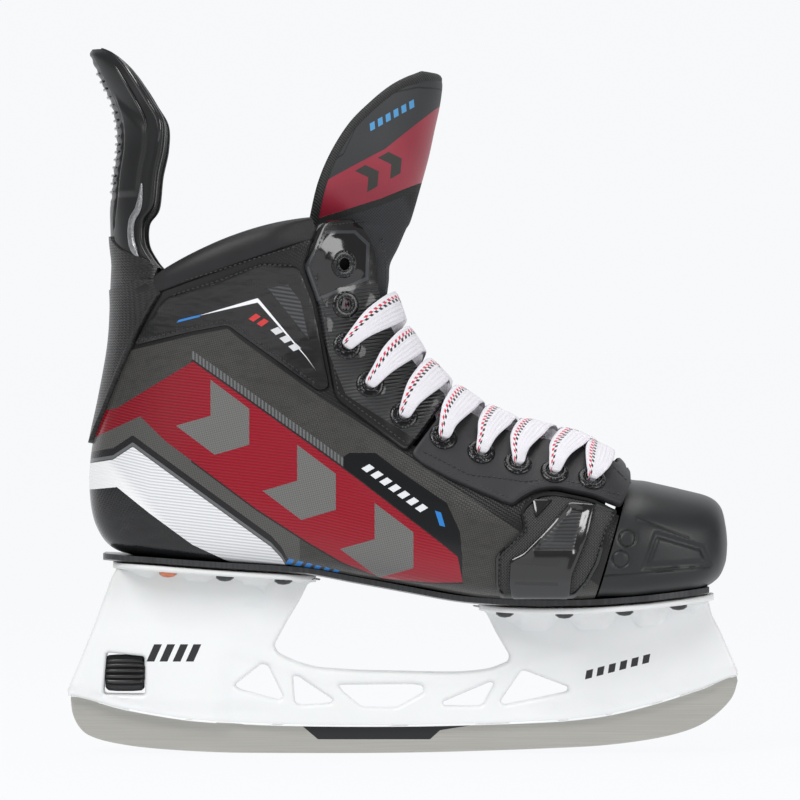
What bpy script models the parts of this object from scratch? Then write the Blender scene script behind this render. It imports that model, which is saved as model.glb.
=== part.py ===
"""A right-foot ice hockey skate with its boot, tongue, tendon guard, lace, blade holder and runner.

Frame: +X towards the toe, +Z up, -Y is the outer side of the foot.  The origin is on the ice under
the middle of the skate.  Sizes below are in millimetres, and MM turns them into Blender's metres.
"""

import math

import bmesh
import bpy
import numpy as np
from mathutils import Matrix, Vector
from mathutils.bvhtree import BVHTree

MM = 0.001

# ---------------------------------------------------------------- driving sizes
GAP = 0.35                   # clearance between two pieces that touch on the real skate
LAID_GAP = 1.0               # clearance under a sheet laid on the curved boot
LINING_GAP = 1.4             # clearance round the lining
BED_GAP = 0.5                # further clearance under the footbed
SHELL_WALL = 2.4             # composite quarter shell
CAP_WALL = 3.0               # moulded toe cap
LINER_WALL = 4.6             # foam and cloth lining
FACING_WALL = 1.6            # leather facing on the shell
STRAP_WALL = 1.2             # strap round the heel under the tendon guard
WRAP_WALL = 1.0              # leather ankle wrap on the shell
PANEL_WALL = 1.3             # moulded side panel behind the toe cap
OUTSOLE_WALL = 1.6           # plate between the shell and the blade holder
FOOTBED_WALL = 4.0           # removable footbed
TONGUE_WALL = 6.5            # felt tongue
GUARD_WALL = 3.2             # moulded tendon guard
GUARD_PAD_WALL = 3.4         # felt pad in front of the tendon guard
BOOT_WIDTH = 98.0            # across the widest part of the boot
GUARD_HEIGHT = 96.6          # tendon guard, from its foot to its tip
THROAT_HALF = 20.0           # half of the gap between the two facings

EYELET_BORE = 2.5            # radius of an eyelet's hole
EYELET_BARREL = 3.15         # outer radius of an eyelet's barrel
EYELET_FLANGE = 5.9          # radius of an eyelet's flange
EYELET_LIFT = 0.9            # thickness of that flange
EYELET_SEAT = 0.6            # clearance under that flange
EYELET_HOLE = EYELET_BARREL + 0.45

LACE_HALF_WIDTH = 5.3        # flat waxed lace
LACE_HALF_THICK = 0.6
LACE_ROWS = 8                # eyelet pairs that the lace uses, counted from the toe
LACE_IN_EYELET = 1.75        # half width of the lace where it is gathered through an eyelet
LACE_TAIL_SECTIONS = 3.0     # lace tucked up behind the facing past its last eyelet, in sections
SHELL_EDGE_FROM_EYELET = 8.5 # how far the shell's free edge stays from the eyelets
COLLAR_BUMP = 5.5            # how much higher the collar is at the ankle

RUNNER_HALF = 1.5            # half of the steel runner's thickness
RUNNER_FIRST = -145.6        # ends of the runner's hidden upper edge
RUNNER_LAST = 145.4
RUNNER_EMBED = 5.5           # depth of the runner in the holder's slot
SLOT_GAP = 0.35              # clearance round the runner in that slot
RUNNER_DROP = 5.0            # how far the lock pushes the runner out

WHEEL_RADIUS = 8.1           # ribbed lock wheel
WHEEL_RIB = 0.8
WHEEL_RIBS = 18
WHEEL_LENGTH = 17.0
WHEEL_X = -122.4             # middle of the wheel, whose axis runs along X
WHEEL_Z = 35.2
BOLT_RADIUS = 3.0
BOLT_CLEAR = 0.4
FORK_HALF_Y = 4.0
FORK_HALF_Z = 3.0
CROSS_PIN_RADIUS = 1.4
CROSS_PIN_X = -98.5          # the cross pin in the runner's cam slot
FORK_ROOT_X = -111.6         # the bolt's fork, from its root to its tips
FORK_TIP_X = -95.6
TANG_FIRST = -102.4          # the runner's tang, which the fork straddles
TANG_LAST = -88.4
TANG_TOP = 45.6
TAB_FIRST = 97.0             # the runner's locating tab
TAB_LAST = 113.0
TAB_TOP = 36.0

FLANGE_WALL = 2.4            # rivet flanges on top of the blade holder
RIVET_SHANK = 2.0
RIVET_HEAD = 3.9
RIVET_DOME = 1.5
RIVET_HOLE = RIVET_SHANK + 0.5
RIVET_LENGTH = 6.2
HEEL_RIVETS_X = (-102.7, -77.9, -52.4)
HEEL_RIVETS_Y = (20.5, 20.5, 19.5)
TOE_RIVETS_X = (44.2, 70.0, 96.2, 119.9)
TOE_RIVETS_Y = (23.0, 27.5, 27.0, 21.0)

GUARD_AXIS = (-129.0, 211.0)     # x and z of the tendon guard's flex line
TONGUE_AXIS = (3.2, 234.5)       # x and z of the tongue's flex line

# The boot's form, as sections from the toe to the collar.  Each row holds a section's lower or rear
# point (x, z), its upper or front point (x, z), its half width, how square its lower and upper
# halves are, the height share of its widest point, and the sideways shift of its centre.
SECTIONS = np.array([
    [142.2, 90.0, 141.2, 102.0, 13.0, 2.4, 2.2, 0.48, 2.6],
    [141.0, 82.5, 139.3, 108.5, 24.5, 2.6, 2.3, 0.47, 2.5],
    [137.0, 76.0, 134.0, 112.8, 33.0, 2.9, 2.4, 0.45, 2.3],
    [128.0, 72.0, 122.0, 116.0, 39.5, 3.6, 2.5, 0.42, 1.8],
    [108.0, 69.2, 109.0, 119.0, 45.0, 4.2, 2.5, 0.40, 1.0],
    [83.0, 67.8, 98.5, 121.8, 48.3, 4.8, 2.3, 0.38, 0.0],
    [71.0, 67.5, 90.0, 131.5, 49.0, 5.0, 2.0, 0.38, -0.6],
    [55.0, 67.5, 72.0, 139.2, 48.8, 5.0, 1.85, 0.40, -1.0],
    [34.0, 68.6, 48.0, 145.0, 47.2, 5.0, 1.8, 0.42, -1.2],
    [10.0, 72.6, 28.5, 155.0, 44.2, 5.0, 1.85, 0.44, -1.0],
    [-16.0, 77.0, 14.0, 167.0, 41.2, 5.0, 2.0, 0.46, -0.7],
    [-45.0, 81.4, 3.5, 180.0, 38.6, 5.0, 2.2, 0.48, -0.4],
    [-78.0, 83.6, -3.0, 192.0, 37.0, 5.0, 2.4, 0.50, -0.2],
    [-106.0, 85.6, -6.0, 201.0, 36.0, 4.5, 2.6, 0.50, 0.0],
    [-126.0, 89.5, -6.5, 208.0, 35.4, 3.6, 2.6, 0.50, 0.0],
    [-135.0, 100.0, -6.5, 213.0, 35.3, 3.0, 2.6, 0.50, 0.0],
    [-138.0, 116.0, -7.0, 217.0, 35.8, 2.6, 2.6, 0.50, 0.0],
    [-137.0, 134.0, -8.0, 221.0, 36.8, 2.4, 2.6, 0.50, 0.0],
    [-132.5, 156.0, -10.5, 225.0, 38.2, 2.3, 2.6, 0.50, 0.0],
    [-128.6, 178.0, -14.5, 229.5, 39.6, 2.2, 2.7, 0.50, 0.0],
    [-127.4, 194.0, -19.0, 232.5, 40.6, 2.2, 2.7, 0.50, 0.0],
    [-127.6, 204.0, -22.0, 238.0, 41.2, 2.2, 2.7, 0.50, 0.0],
])
SECTIONS[:, 4] *= BOOT_WIDTH / (2 * SECTIONS[:, 4].max())
CAP_END = 5.0                # section where the toe cap ends and the shell begins
SHELL_END = 20.0             # section where the shell ends and the padded collar begins
LINER_FIRST = 5.7            # section where the liner begins
LINER_COLUMNS = 23           # points round each row of the liner
TOP_END = len(SECTIONS) - 1.0

# Underside of the outsole along the boot, (x, z)
SOLE_LINE = np.array([
    [-136.0, 85.2], [-122.0, 84.2], [-80.0, 81.4], [-42.0, 79.0], [-22.0, 75.2], [0.0, 71.2],
    [25.0, 66.9], [50.0, 65.4], [77.0, 65.4], [100.0, 66.7], [120.0, 68.7], [138.0, 70.7],
])

# Lower edge of the holder, which the runner's visible steel starts from, (x, z)
RAIL_LINE = np.array([
    [-147.0, 25.4], [-122.5, 19.2], [-93.9, 14.4], [-55.7, 12.1], [-1.5, 11.7], [40.2, 12.6],
    [70.5, 14.0], [90.7, 16.6], [110.9, 21.6], [131.1, 28.0], [146.9, 34.2],
])
# Lower edge of the runner from its heel to its toe, (x, z)
EDGE_HEEL = ((-146.3, 23.6), (-145.4, 17.2), (-142.6, 11.5), (-137.8, 7.5), (-127.3, 4.4), (-110.0, 2.0), (-84.0, 0.4))
EDGE_FLAT = ((-60.0, 0.0), (-10.0, 0.0))
EDGE_TOE = ((30.0, 0.8), (70.5, 2.3), (90.7, 3.6), (110.9, 6.4), (126.0, 10.3), (136.1, 15.8), (144.2, 23.9), (147.0, 31.6))

# The tongue above the facings, as level rows: front x, height, how far its wings reach back, half
# width, and how much lower its wings are than its front
TONGUE_CLEAR = 3.6           # space between the form and the tongue for the lace
TONGUE_TUCK = 9.0            # how far the tongue reaches inside the liner
TONGUE_SWELL = 4.5           # how far the tongue bulges in front of the facings
TONGUE_CURL = 44.0           # depth of the whole U that the tongue is cut from
TONGUE_COLUMNS = 15
TONGUE_STATIONS = (5.6, 6.3, 7.0, 7.8, 8.7, 9.6, 10.5, 11.5, 12.7, 14.0, 15.6)
TONGUE_TOP = (
    (-2.4, 222.0, 39.0, 21.0, 3.0),
    (1.0, 230.0, 41.0, 20.5, 0.5),
    (3.2, 234.5, 42.5, 21.5, 0.0),
    (7.3, 249.0, 43.0, 31.0, 0.0),
    (10.8, 262.0, 41.0, 34.0, 0.0),
    (13.4, 274.0, 36.0, 34.0, 0.0),
    (15.4, 283.0, 29.0, 34.0, 0.0),
    (16.6, 290.0, 21.5, 34.0, 0.0),
    (16.6, 295.5, 12.0, 34.0, 0.0),
)
# The tendon guard, level by level: height, back x, how far its wings reach forward, half width
GUARD_CURL = 34.0            # depth of the whole U that the guard is cut from
GUARD = (
    (212.6, -127.6, 22.0, 33.0),
    (217.0, -127.8, 18.0, 32.0),
    (224.0, -128.6, 15.0, 31.0),
    (233.0, -129.0, 15.5, 30.0),
    (240.0, -129.0, 20.0, 29.5),
    (254.0, -127.8, 20.5, 29.0),
    (266.0, -126.3, 21.5, 28.5),
    (277.0, -126.8, 22.0, 28.0),
    (286.0, -129.0, 19.0, 27.0),
    (294.0, -132.6, 17.5, 26.0),
    (301.0, -135.6, 15.5, 24.0),
    (306.5, -137.9, 12.0, 20.0),
    (309.2, -137.6, 6.0, 15.0),
)
GUARD_STRETCH = GUARD_HEIGHT / (GUARD[-1][0] - GUARD[0][0])

# Eyelet positions on each side seen from the side, top to toe, (x, z)
EYELETS = (
    (-27.3, 214.3), (-26.2, 196.5), (-24.9, 178.4), (-14.9, 161.4), (-0.3, 147.6),
    (16.7, 138.0), (33.1, 131.1), (49.3, 126.0), (65.1, 122.4), (81.0, 119.4),
)


# ---------------------------------------------------------------- curves and grids
def through(table, t):
    """Points on a smooth curve through the rows of a table, at row numbers t."""
    table = np.asarray(table, float)
    t = np.clip(np.asarray(t, float), 0, len(table) - 1)
    i = np.minimum(t.astype(int), len(table) - 2)
    f = (t - i)[..., None]
    before, after = np.maximum(i - 1, 0), np.minimum(i + 2, len(table) - 1)
    p, q, r, s = table[before], table[i], table[i + 1], table[after]
    return q + 0.5 * f * (r - p + f * (2 * p - 5 * q + 4 * r - s + f * (3 * (q - r) + s - p)))


def height_at(line, x):
    """Height of an (x, z) line at x, smoothed between its points."""
    rows = np.interp(x, line[:, 0], np.arange(len(line)))
    return through(line[:, 1:], rows)[..., 0]


def form(t, angle):
    """Points of the boot's outer form.  The angle is 0 at the sole or heel and pi at the front."""
    row = through(SECTIONS, t)
    turn = np.abs(angle)
    low = turn <= math.pi / 2
    half, share, shift = row[..., 4], row[..., 7], row[..., 8]
    a = np.clip(np.where(low, turn, math.pi - turn), 1e-9, math.pi / 2)
    power = 2 / np.where(low, row[..., 5], row[..., 6])
    wide = half * np.sin(a) ** power
    along = np.cos(a) ** power
    s = np.where(low, share * (1 - along), share + (1 - share) * along)
    x = row[..., 0] + s * (row[..., 2] - row[..., 0])
    z = row[..., 1] + s * (row[..., 3] - row[..., 1])
    return np.stack([x, shift + np.sign(angle) * wide, z], axis=-1)


def throat_angle(t, half=THROAT_HALF):
    """The angle at which the form is that far from its middle plane, on its front half."""
    row = through(SECTIONS, t)
    share = np.clip(half / row[..., 4], 0, 0.999)
    return math.pi - np.arcsin(share ** (row[..., 6] / 2))


def ring(t, first, last, count):
    """Points evenly spaced along one section of the form, between two angles."""
    fine = np.linspace(first, last, 240)
    points = form(np.full(fine.shape, t), fine)
    run = np.concatenate([[0], np.cumsum(np.linalg.norm(np.diff(points, axis=0), axis=1))])
    angles = np.interp(np.linspace(0, run[-1], count), run, fine)
    return form(np.full(angles.shape, t), angles)


def form_grid(stations, first, last, count):
    """A grid of the form.  first and last give the two angles at a section."""
    return np.array([ring(t, first(t), last(t), count) for t in stations])


def inward_of(grid, closed=False):
    """Unit normals of a grid of points, pointing into the boot."""
    along = np.gradient(grid, axis=0)
    if closed:
        across = np.roll(grid, -1, axis=1) - np.roll(grid, 1, axis=1)
    else:
        across = np.gradient(grid, axis=1)
    normal = np.cross(across, along)
    size = np.linalg.norm(normal, axis=-1, keepdims=True)
    return normal / np.maximum(size, 1e-9)


# ---------------------------------------------------------------- Blender objects
def clear_scene():
    for obj in list(bpy.data.objects):
        bpy.data.objects.remove(obj, do_unlink=True)


def material(name, colour, roughness, metallic=0.0):
    found = bpy.data.materials.get(name)
    if found:
        return found
    made = bpy.data.materials.new(name)
    made.use_nodes = True
    shader = made.node_tree.nodes["Principled BSDF"]
    shader.inputs["Base Color"].default_value = (*colour, 1.0)
    shader.inputs["Roughness"].default_value = roughness
    shader.inputs["Metallic"].default_value = metallic
    return made


def mesh_object(name, verts, faces, stuff=None, smooth=40.0):
    """An object from points in millimetres, with its faces turned outwards."""
    mesh = bpy.data.meshes.new(name)
    mesh.from_pydata([tuple(MM * c for c in v) for v in verts], [], [tuple(f) for f in faces])
    shape = bmesh.new()
    shape.from_mesh(mesh)
    bmesh.ops.remove_doubles(shape, verts=shape.verts, dist=1e-7)
    bmesh.ops.recalc_face_normals(shape, faces=shape.faces)
    shape.to_mesh(mesh)
    shape.free()
    mesh.shade_smooth()
    mesh.set_sharp_from_angle(angle=math.radians(smooth))
    obj = bpy.data.objects.new(name, mesh)
    bpy.context.scene.collection.objects.link(obj)
    if stuff:
        mesh.materials.append(stuff)
    return obj


def walls(n, m, closed):
    """Quads of an n by m grid of point numbers, wrapped round if closed."""
    wrap = m if closed else m - 1
    return [(i * m + j, (i + 1) * m + j, (i + 1) * m + (j + 1) % m, i * m + (j + 1) % m)
            for i in range(n - 1) for j in range(wrap)]


def thick_sheet(name, outer, inner, stuff, closed=False, nose=False):
    """A closed solid between two grids.  nose closes the first row, which is then a ring's end."""
    n, m = outer.shape[:2]
    far = n * m
    verts = list(outer.reshape(-1, 3)) + list(inner.reshape(-1, 3))
    faces = walls(n, m, closed)
    faces += [tuple(far + k for k in reversed(f)) for f in walls(n, m, closed)]
    rows = (n - 1,) if nose else (0, n - 1)
    for i in rows:
        for j in range(m if closed else m - 1):
            a, b = i * m + j, i * m + (j + 1) % m
            faces.append((a, b, far + b, far + a))
    if nose:
        for start in (0, far):
            middle = len(verts)
            verts.append(np.mean(verts[start:start + m], axis=0))
            faces += [(start + j, start + (j + 1) % m, middle) for j in range(m)]
    if not closed:
        for j in (0, m - 1):
            for i in range(n - 1):
                a, b = i * m + j, (i + 1) * m + j
                faces.append((a, b, far + b, far + a))
    return mesh_object(name, verts, faces, stuff)


def plate(name, outline, low, high, stuff=None, axis="Y"):
    """A flat outline of (x, z) points made solid across Y, or of (x, y) points made solid across Z."""
    n = len(outline)
    if axis == "Y":
        verts = [(x, y, z) for y in (low, high) for x, z in outline]
    elif axis == "Z":
        verts = [(x, y, z) for z in (low, high) for x, y in outline]
    else:
        verts = [(x, y, z) for x in (low, high) for y, z in outline]
    faces = [tuple(range(n)), tuple(range(2 * n - 1, n - 1, -1))]
    faces += [(i, (i + 1) % n, n + (i + 1) % n, n + i) for i in range(n)]
    return mesh_object(name, verts, faces, stuff)


def rod(name, start, end, radius, sides, stuff=None):
    """A straight round bar between two points."""
    start, end = Vector(start), Vector(end)
    turn = (end - start).to_track_quat("Z", "Y").to_matrix()
    circle = [turn @ Vector((radius * math.cos(a), radius * math.sin(a), 0))
              for a in np.linspace(0, 2 * math.pi, sides, endpoint=False)]
    verts = [start + c for c in circle] + [end + c for c in circle]
    faces = [tuple(range(sides - 1, -1, -1)), tuple(range(sides, 2 * sides))]
    faces += [(i, (i + 1) % sides, sides + (i + 1) % sides, sides + i) for i in range(sides)]
    return mesh_object(name, verts, faces, stuff)


def turned(name, profile, sides, origin, direction, stuff):
    """A turned piece: a closed profile of (radius, height) points spun round a direction."""
    turn = Vector(direction).to_track_quat("Z", "Y").to_matrix()
    verts, m = [], len(profile)
    for a in np.linspace(0, 2 * math.pi, sides, endpoint=False):
        for radius, height in profile:
            spot = turn @ Vector((radius * math.cos(a), radius * math.sin(a), height))
            verts.append(Vector(origin) + spot)
    faces = [(i * m + j, ((i + 1) % sides) * m + j, ((i + 1) % sides) * m + (j + 1) % m, i * m + (j + 1) % m)
             for i in range(sides) for j in range(m)]
    return mesh_object(name, verts, faces, stuff)


def cut(obj, cutters, operation="DIFFERENCE"):
    """Cuts each cutter from an object, or joins it on, and keeps the result."""
    for cutter in cutters:
        modifier = obj.modifiers.new("Boolean", "BOOLEAN")
        modifier.operation = operation
        modifier.solver = "EXACT"
        modifier.object = cutter
    graph = bpy.context.evaluated_depsgraph_get()
    mesh = bpy.data.meshes.new_from_object(obj.evaluated_get(graph))
    obj.modifiers.clear()
    old = obj.data
    obj.data = mesh
    bpy.data.meshes.remove(old)
    for cutter in cutters:
        bpy.data.objects.remove(cutter, do_unlink=True)
    return obj


# ---------------------------------------------------------------- panels laid on the form
def form_tree():
    """The whole form as a tree for rays."""
    stations = np.linspace(0, TOP_END, 170)
    angles = np.linspace(-math.pi, math.pi, 260)
    t, a = np.meshgrid(stations, angles, indexing="ij")
    grid = form(t, a)
    grid = np.concatenate([grid, grid[-1:] + np.array([0, 0, 8.0])])
    return BVHTree.FromPolygons([tuple(p) for p in grid.reshape(-1, 3)], walls(*grid.shape[:2], False))


def seen_from_side(tree, x, z, side):
    """Where a side view's point lies on the form, and its outward normal.  side is -1 for the outer side."""
    spot, normal, _, _ = tree.ray_cast(Vector((x, side * 300.0, z)), Vector((0, -side, 0)))
    if spot is None:
        spot, normal, _, _ = tree.find_nearest(Vector((x, side * 30.0, z)))
    return spot, normal if normal.y * side > 0 else -normal


def panel(name, tree, outline, side, lift, wall, stuff, step=10.0):
    """A sheet laid on the boot's side, from its outline in the side view."""
    flat = bmesh.new()
    flat.faces.new([flat.verts.new((x, 0, z)) for x, z in outline])
    xs, zs = [p[0] for p in outline], [p[1] for p in outline]
    cuts = [((x, 0, 0), (1, 0, 0)) for x in np.arange(min(xs) + step, max(xs) - 0.3 * step, step)]
    cuts += [((0, 0, z), (0, 0, 1)) for z in np.arange(min(zs) + step, max(zs) - 0.3 * step, step)]
    for spot, normal in cuts:
        geometry = flat.verts[:] + flat.edges[:] + flat.faces[:]
        bmesh.ops.bisect_plane(flat, geom=geometry, dist=0.4, plane_co=spot, plane_no=normal)
    bmesh.ops.remove_doubles(flat, verts=flat.verts, dist=0.5)
    bmesh.ops.triangulate(flat, faces=flat.faces)
    flat.verts.index_update()
    low, high = [], []
    for v in flat.verts:
        spot, normal = seen_from_side(tree, v.co.x, v.co.z, side)
        low.append(spot + normal * lift)
        high.append(spot + normal * (lift + wall))
    n = len(low)
    faces = [tuple(v.index for v in f.verts) for f in flat.faces]
    faces += [tuple(n + i for i in reversed(f)) for f in faces]
    for e in flat.edges:
        if e.is_boundary:
            a, b = (v.index for v in e.verts)
            faces.append((a, b, n + b, n + a))
    flat.free()
    return mesh_object(name, low + high, faces, stuff)


def throat_outline(first, last, count, half):
    """The facing's free edge in the side view, from section first to section last."""
    points = [form(np.array(t), np.array(-throat_angle(np.array(t), half))) for t in np.linspace(first, last, count)]
    return [(p[0], p[2]) for p in points]


# ---------------------------------------------------------------- where the eyelets and edges run
def nearest_on_form(spot):
    """The section number and angle of the form's point nearest to a spot."""
    t, a = np.meshgrid(np.linspace(4, TOP_END, 290), np.linspace(-math.pi, 0, 240), indexing="ij")
    best = np.argmin(np.sum((form(t, a) - np.array(spot)) ** 2, axis=-1))
    return t.flat[best], abs(a.flat[best])


def angle_along(t, start, distance):
    """The angle reached by going that far round a section from one angle towards the sole."""
    fine = np.linspace(start, 0.3, 200)
    points = form(np.full(fine.shape, t), -fine)
    run = np.concatenate([[0], np.cumsum(np.linalg.norm(np.diff(points, axis=0), axis=1))])
    return float(np.interp(distance, run, fine))


def front_frame(t, turn):
    """A point on the form's front and its outward normal.  turn is the angle from the middle plane."""
    def at(section, part):
        return form(np.array(section), np.array(math.copysign(math.pi - abs(part), part)))

    here = at(t, turn)
    step = 0.012 if turn >= 0 else -0.012
    normal = np.cross(at(t + 0.05, turn) - at(t - 0.05, turn), at(t, turn + step) - here)
    normal /= np.linalg.norm(normal)
    outwards = here - form(np.array(t), np.array(0.0))
    return here, normal if np.dot(normal, outwards) > 0 else -normal


def eyelet_rail(tree):
    """The (section, angle) of each eyelet, from the collar to the toe."""
    return np.array([nearest_on_form(seen_from_side(tree, x, z, -1)[0]) for x, z in EYELETS])


def shell_edge(rail, t):
    """The angle of the shell's free edge, which stops short of the eyelets."""
    start = float(np.interp(t, rail[::-1, 0], rail[::-1, 1]))
    return angle_along(t, start, SHELL_EDGE_FROM_EYELET)


# ---------------------------------------------------------------- the boot
def build_toe_cap(stuff):
    stations = np.array([0.0, 0.5, 1.0, 1.6, 2.3, 3.0, 3.7, 4.4, CAP_END - 0.03])
    outer = np.array([ring(t, -math.pi, math.pi, 31)[:-1] for t in stations])
    normal = inward_of(outer, True)
    inner = outer + CAP_WALL * normal
    inner[0] = outer[1] + CAP_WALL * normal[1]
    inner[0] = inner[0] * (1, 0.75, 0.75) + inner[0].mean(axis=0) * (0, 0.25, 0.25)
    inner[1] = 0.5 * (inner[0] + inner[2])
    return thick_sheet("toe_cap", outer, inner, stuff, closed=True, nose=True)


def build_shell(rail, stuff):
    stations = np.concatenate([[CAP_END + 0.04], np.arange(5.7, SHELL_END - 0.3, 0.72), [SHELL_END]])
    outer = form_grid(stations, lambda t: -shell_edge(rail, t), lambda t: shell_edge(rail, t), 27)
    inner = outer + SHELL_WALL * inward_of(outer)
    return thick_sheet("quarter_shell", outer, inner, stuff)


def build_liner(rail, stuff):
    stations = np.concatenate([np.arange(LINER_FIRST, SHELL_END - 0.5, 1.0), [SHELL_END]])
    near = form_grid(stations, lambda t: -shell_edge(rail, t), lambda t: shell_edge(rail, t), LINER_COLUMNS)
    normal = inward_of(near)
    depth = SHELL_WALL + LINING_GAP
    return thick_sheet("ankle_liner", near + depth * normal, near + (depth + LINER_WALL) * normal, stuff)


def build_collar(rail, stuff):
    """The padded collar standing on the shell, highest at the ankle."""
    outer, inner = [], []
    for share, tuck in ((0.0, 0.0), (0.35, -0.9), (0.72, -0.2), (1.0, 2.2)):
        t = SHELL_END + 0.05 + share * (TOP_END - SHELL_END - 0.05)
        edge = shell_edge(rail, t) - 0.05
        row = ring(t, -edge, edge, 27)
        inward = inward_of(np.array([ring(t - 0.05, -edge, edge, 27), row, ring(t + 0.05, -edge, edge, 27)]))[1]
        bump = COLLAR_BUMP * share * np.sin(np.pi * np.clip((row[:, 0] + 107) / 78, 0, 1)) ** 0.8
        row[:, 2] += bump
        outer.append(row + tuck * inward)
        inner.append(row + (SHELL_WALL + LINING_GAP + LINER_WALL - tuck) * inward)
    return thick_sheet("collar_pad", np.array(outer), np.array(inner), stuff)


def build_back_strap(stuff):
    stations = np.linspace(17.1, SHELL_END - 0.06, 9)
    reach = np.interp(stations, [17.1, 17.6, 19.94], [0.12, 0.35, 0.98])
    outer = np.array([ring(t, -a, a, 13) for t, a in zip(stations, reach)])
    outward = -inward_of(outer)
    return thick_sheet("back_strap", outer + LAID_GAP * outward, outer + (LAID_GAP + STRAP_WALL) * outward, stuff)


def sole_half_width(x):
    """Half width of the outsole along the boot."""
    return float(np.interp(x, [-133, -128, -118, -100, -60, -20, 20, 60, 90, 110, 125, 134, 138],
                           [9, 18, 25, 28, 27, 25.5, 30, 38, 38.5, 35, 29, 19, 9]))


def build_outsole(tree, stuff):
    under, top = [], []
    for x in np.concatenate([[-131.0, -127.0], np.linspace(-120, 122, 16), [129.0, 133.5]]):
        low = float(height_at(SOLE_LINE, x))
        wide = sole_half_width(x)
        row_low, row_top = [], []
        for y in np.linspace(-wide, wide, 7):
            spot, _, _, _ = tree.ray_cast(Vector((x, y, 20.0)), Vector((0, 0, 1)))
            high = max(spot.z - 1.25 * LAID_GAP, low + 0.8) if spot else low + OUTSOLE_WALL
            row_low.append((x, y, low))
            row_top.append((x, y, high))
        under.append(row_low)
        top.append(row_top)
    return thick_sheet("outsole", np.array(under), np.array(top), stuff)


def build_footbed(rail, stuff):
    """The removable footbed, on the middle columns of the liner's own grid."""
    stations = np.arange(LINER_FIRST - 4, 13.0, 1.0)
    outer = form_grid(stations, lambda t: -shell_edge(rail, t), lambda t: shell_edge(rail, t), LINER_COLUMNS)
    middle = slice(LINER_COLUMNS // 2 - 3, LINER_COLUMNS // 2 + 4)
    outer, normal = outer[:, middle], inward_of(outer)[:, middle]
    depth = SHELL_WALL + LINER_WALL + 2 * LINING_GAP + BED_GAP
    return thick_sheet("footbed", outer + depth * normal, outer + (depth + FOOTBED_WALL) * normal, stuff)


def build_facings(tree, stuff, gloss):
    """The two leather facings on each side, with a hole for each eyelet."""
    top = [(-23.5, 233.5), (-36.0, 233.0), (-43.6, 213.0), (-38.0, 197.9), (-30.0, 156.0), (-21.5, 149.5), (1.6, 132.0)]
    upper = top + throat_outline(9.55, 19.9, 14, THROAT_HALF)
    front = [(93.1, 129.2), (97.6, 124.3), (98.6, 118.8), (95.4, 111.0), (93.5, 108.6), (81.6, 113.2), (65.3, 116.6),
             (57.4, 115.5), (50.8, 112.2), (46.9, 109.2), (33.7, 114.7), (19.6, 120.9), (8.0, 127.2), (3.0, 131.4)]
    lower = front + throat_outline(5.75, 9.45, 9, THROAT_HALF)[::-1]
    made = []
    for side, word in ((-1, "outer"), (1, "inner")):
        for part, outline, look in (("upper", upper, gloss), ("lower", lower, stuff)):
            made.append(panel(f"{part}_facing_{word}", tree, outline, side, LAID_GAP, FACING_WALL, look))
    return made


def build_eyelets(tree, facings, stuff):
    """Metal eyelets, each in its own hole through a facing."""
    cutters = {facing.name: [] for facing in facings}
    seats = []
    for side, word in ((-1, "outer"), (1, "inner")):
        for k, (x, z) in enumerate(EYELETS):
            spot, normal = seen_from_side(tree, x, z, side)
            base = spot + normal * (LAID_GAP + FACING_WALL)
            seats.append((base, normal))
            low, high = -FACING_WALL - 0.2, EYELET_SEAT
            profile = [(EYELET_BORE, low), (EYELET_BARREL, low), (EYELET_BARREL, high), (EYELET_FLANGE, high),
                       (EYELET_FLANGE - 0.5, high + EYELET_LIFT), (EYELET_BORE, high + EYELET_LIFT)]
            turned(f"eyelet_{word}_{k + 1}", profile, 8, base, normal, stuff)
            part = "upper" if k < 5 else "lower"
            cutters[f"{part}_facing_{word}"].append(
                rod("cutter", base - normal * 6, base + normal * 4, EYELET_HOLE, 8))
    for facing in facings:
        cut(facing, cutters[facing.name])
    return seats


def build_wraps(tree, stuff):
    """The leather ankle wrap on each side, between the collar and the quarter."""
    outline = [(-99.5, 201.3), (-80.0, 206.5), (-61.4, 213.5), (-45.6, 212.0), (-39.6, 197.5), (-32.0, 160.5),
               (-36.7, 158.8), (-72.4, 185.1), (-76.3, 188.2), (-91.7, 185.1), (-114.0, 180.0)]
    for side, word in ((-1, "outer"), (1, "inner")):
        panel(f"ankle_wrap_{word}", tree, outline, side, LAID_GAP, WRAP_WALL, stuff)


def build_side_panels(tree, stuff):
    outline = [(52.0, 109.8), (50.2, 106.8), (51.7, 99.7), (39.6, 87.9), (40.3, 76.0), (79.4, 76.0), (84.2, 84.3),
               (88.6, 99.7), (92.6, 106.6), (81.6, 111.8), (65.3, 115.2), (57.8, 114.2)]
    for side, word in ((-1, "outer"), (1, "inner")):
        panel(f"side_panel_{word}", tree, outline, side, LAID_GAP, PANEL_WALL, stuff)


# ---------------------------------------------------------------- the tongue
def tongue_depth(turn, edge):
    """How far below the form the tongue's outer face lies, at a front angle up to its edge."""
    under_facing = TONGUE_CLEAR
    inside_liner = SHELL_WALL + LINING_GAP + LINER_WALL + 2.4
    share = np.clip((np.abs(turn) - 0.62 * edge) / (0.3 * edge), 0, 1)
    share = share * share * (3 - 2 * share)
    return under_facing + (inside_liner - under_facing) * share


def tongue_rows(rail):
    """Outer points of the tongue from its toe end up to the facings' top."""
    rows = []
    for t in TONGUE_STATIONS:
        edge = math.pi - angle_along(t, shell_edge(rail, t), TONGUE_TUCK)
        row = []
        for turn in np.linspace(-edge, edge, TONGUE_COLUMNS):
            here, outward = front_frame(t, turn if turn else 1e-6)
            swell = TONGUE_SWELL * np.interp(t, [11.5, 14.5], [0, 1]) * math.exp(-(turn / (0.38 * edge)) ** 2)
            row.append(here - outward * tongue_depth(turn, edge) + np.array([swell, 0, 0]))
        rows.append(row)
    return np.array(rows)


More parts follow.
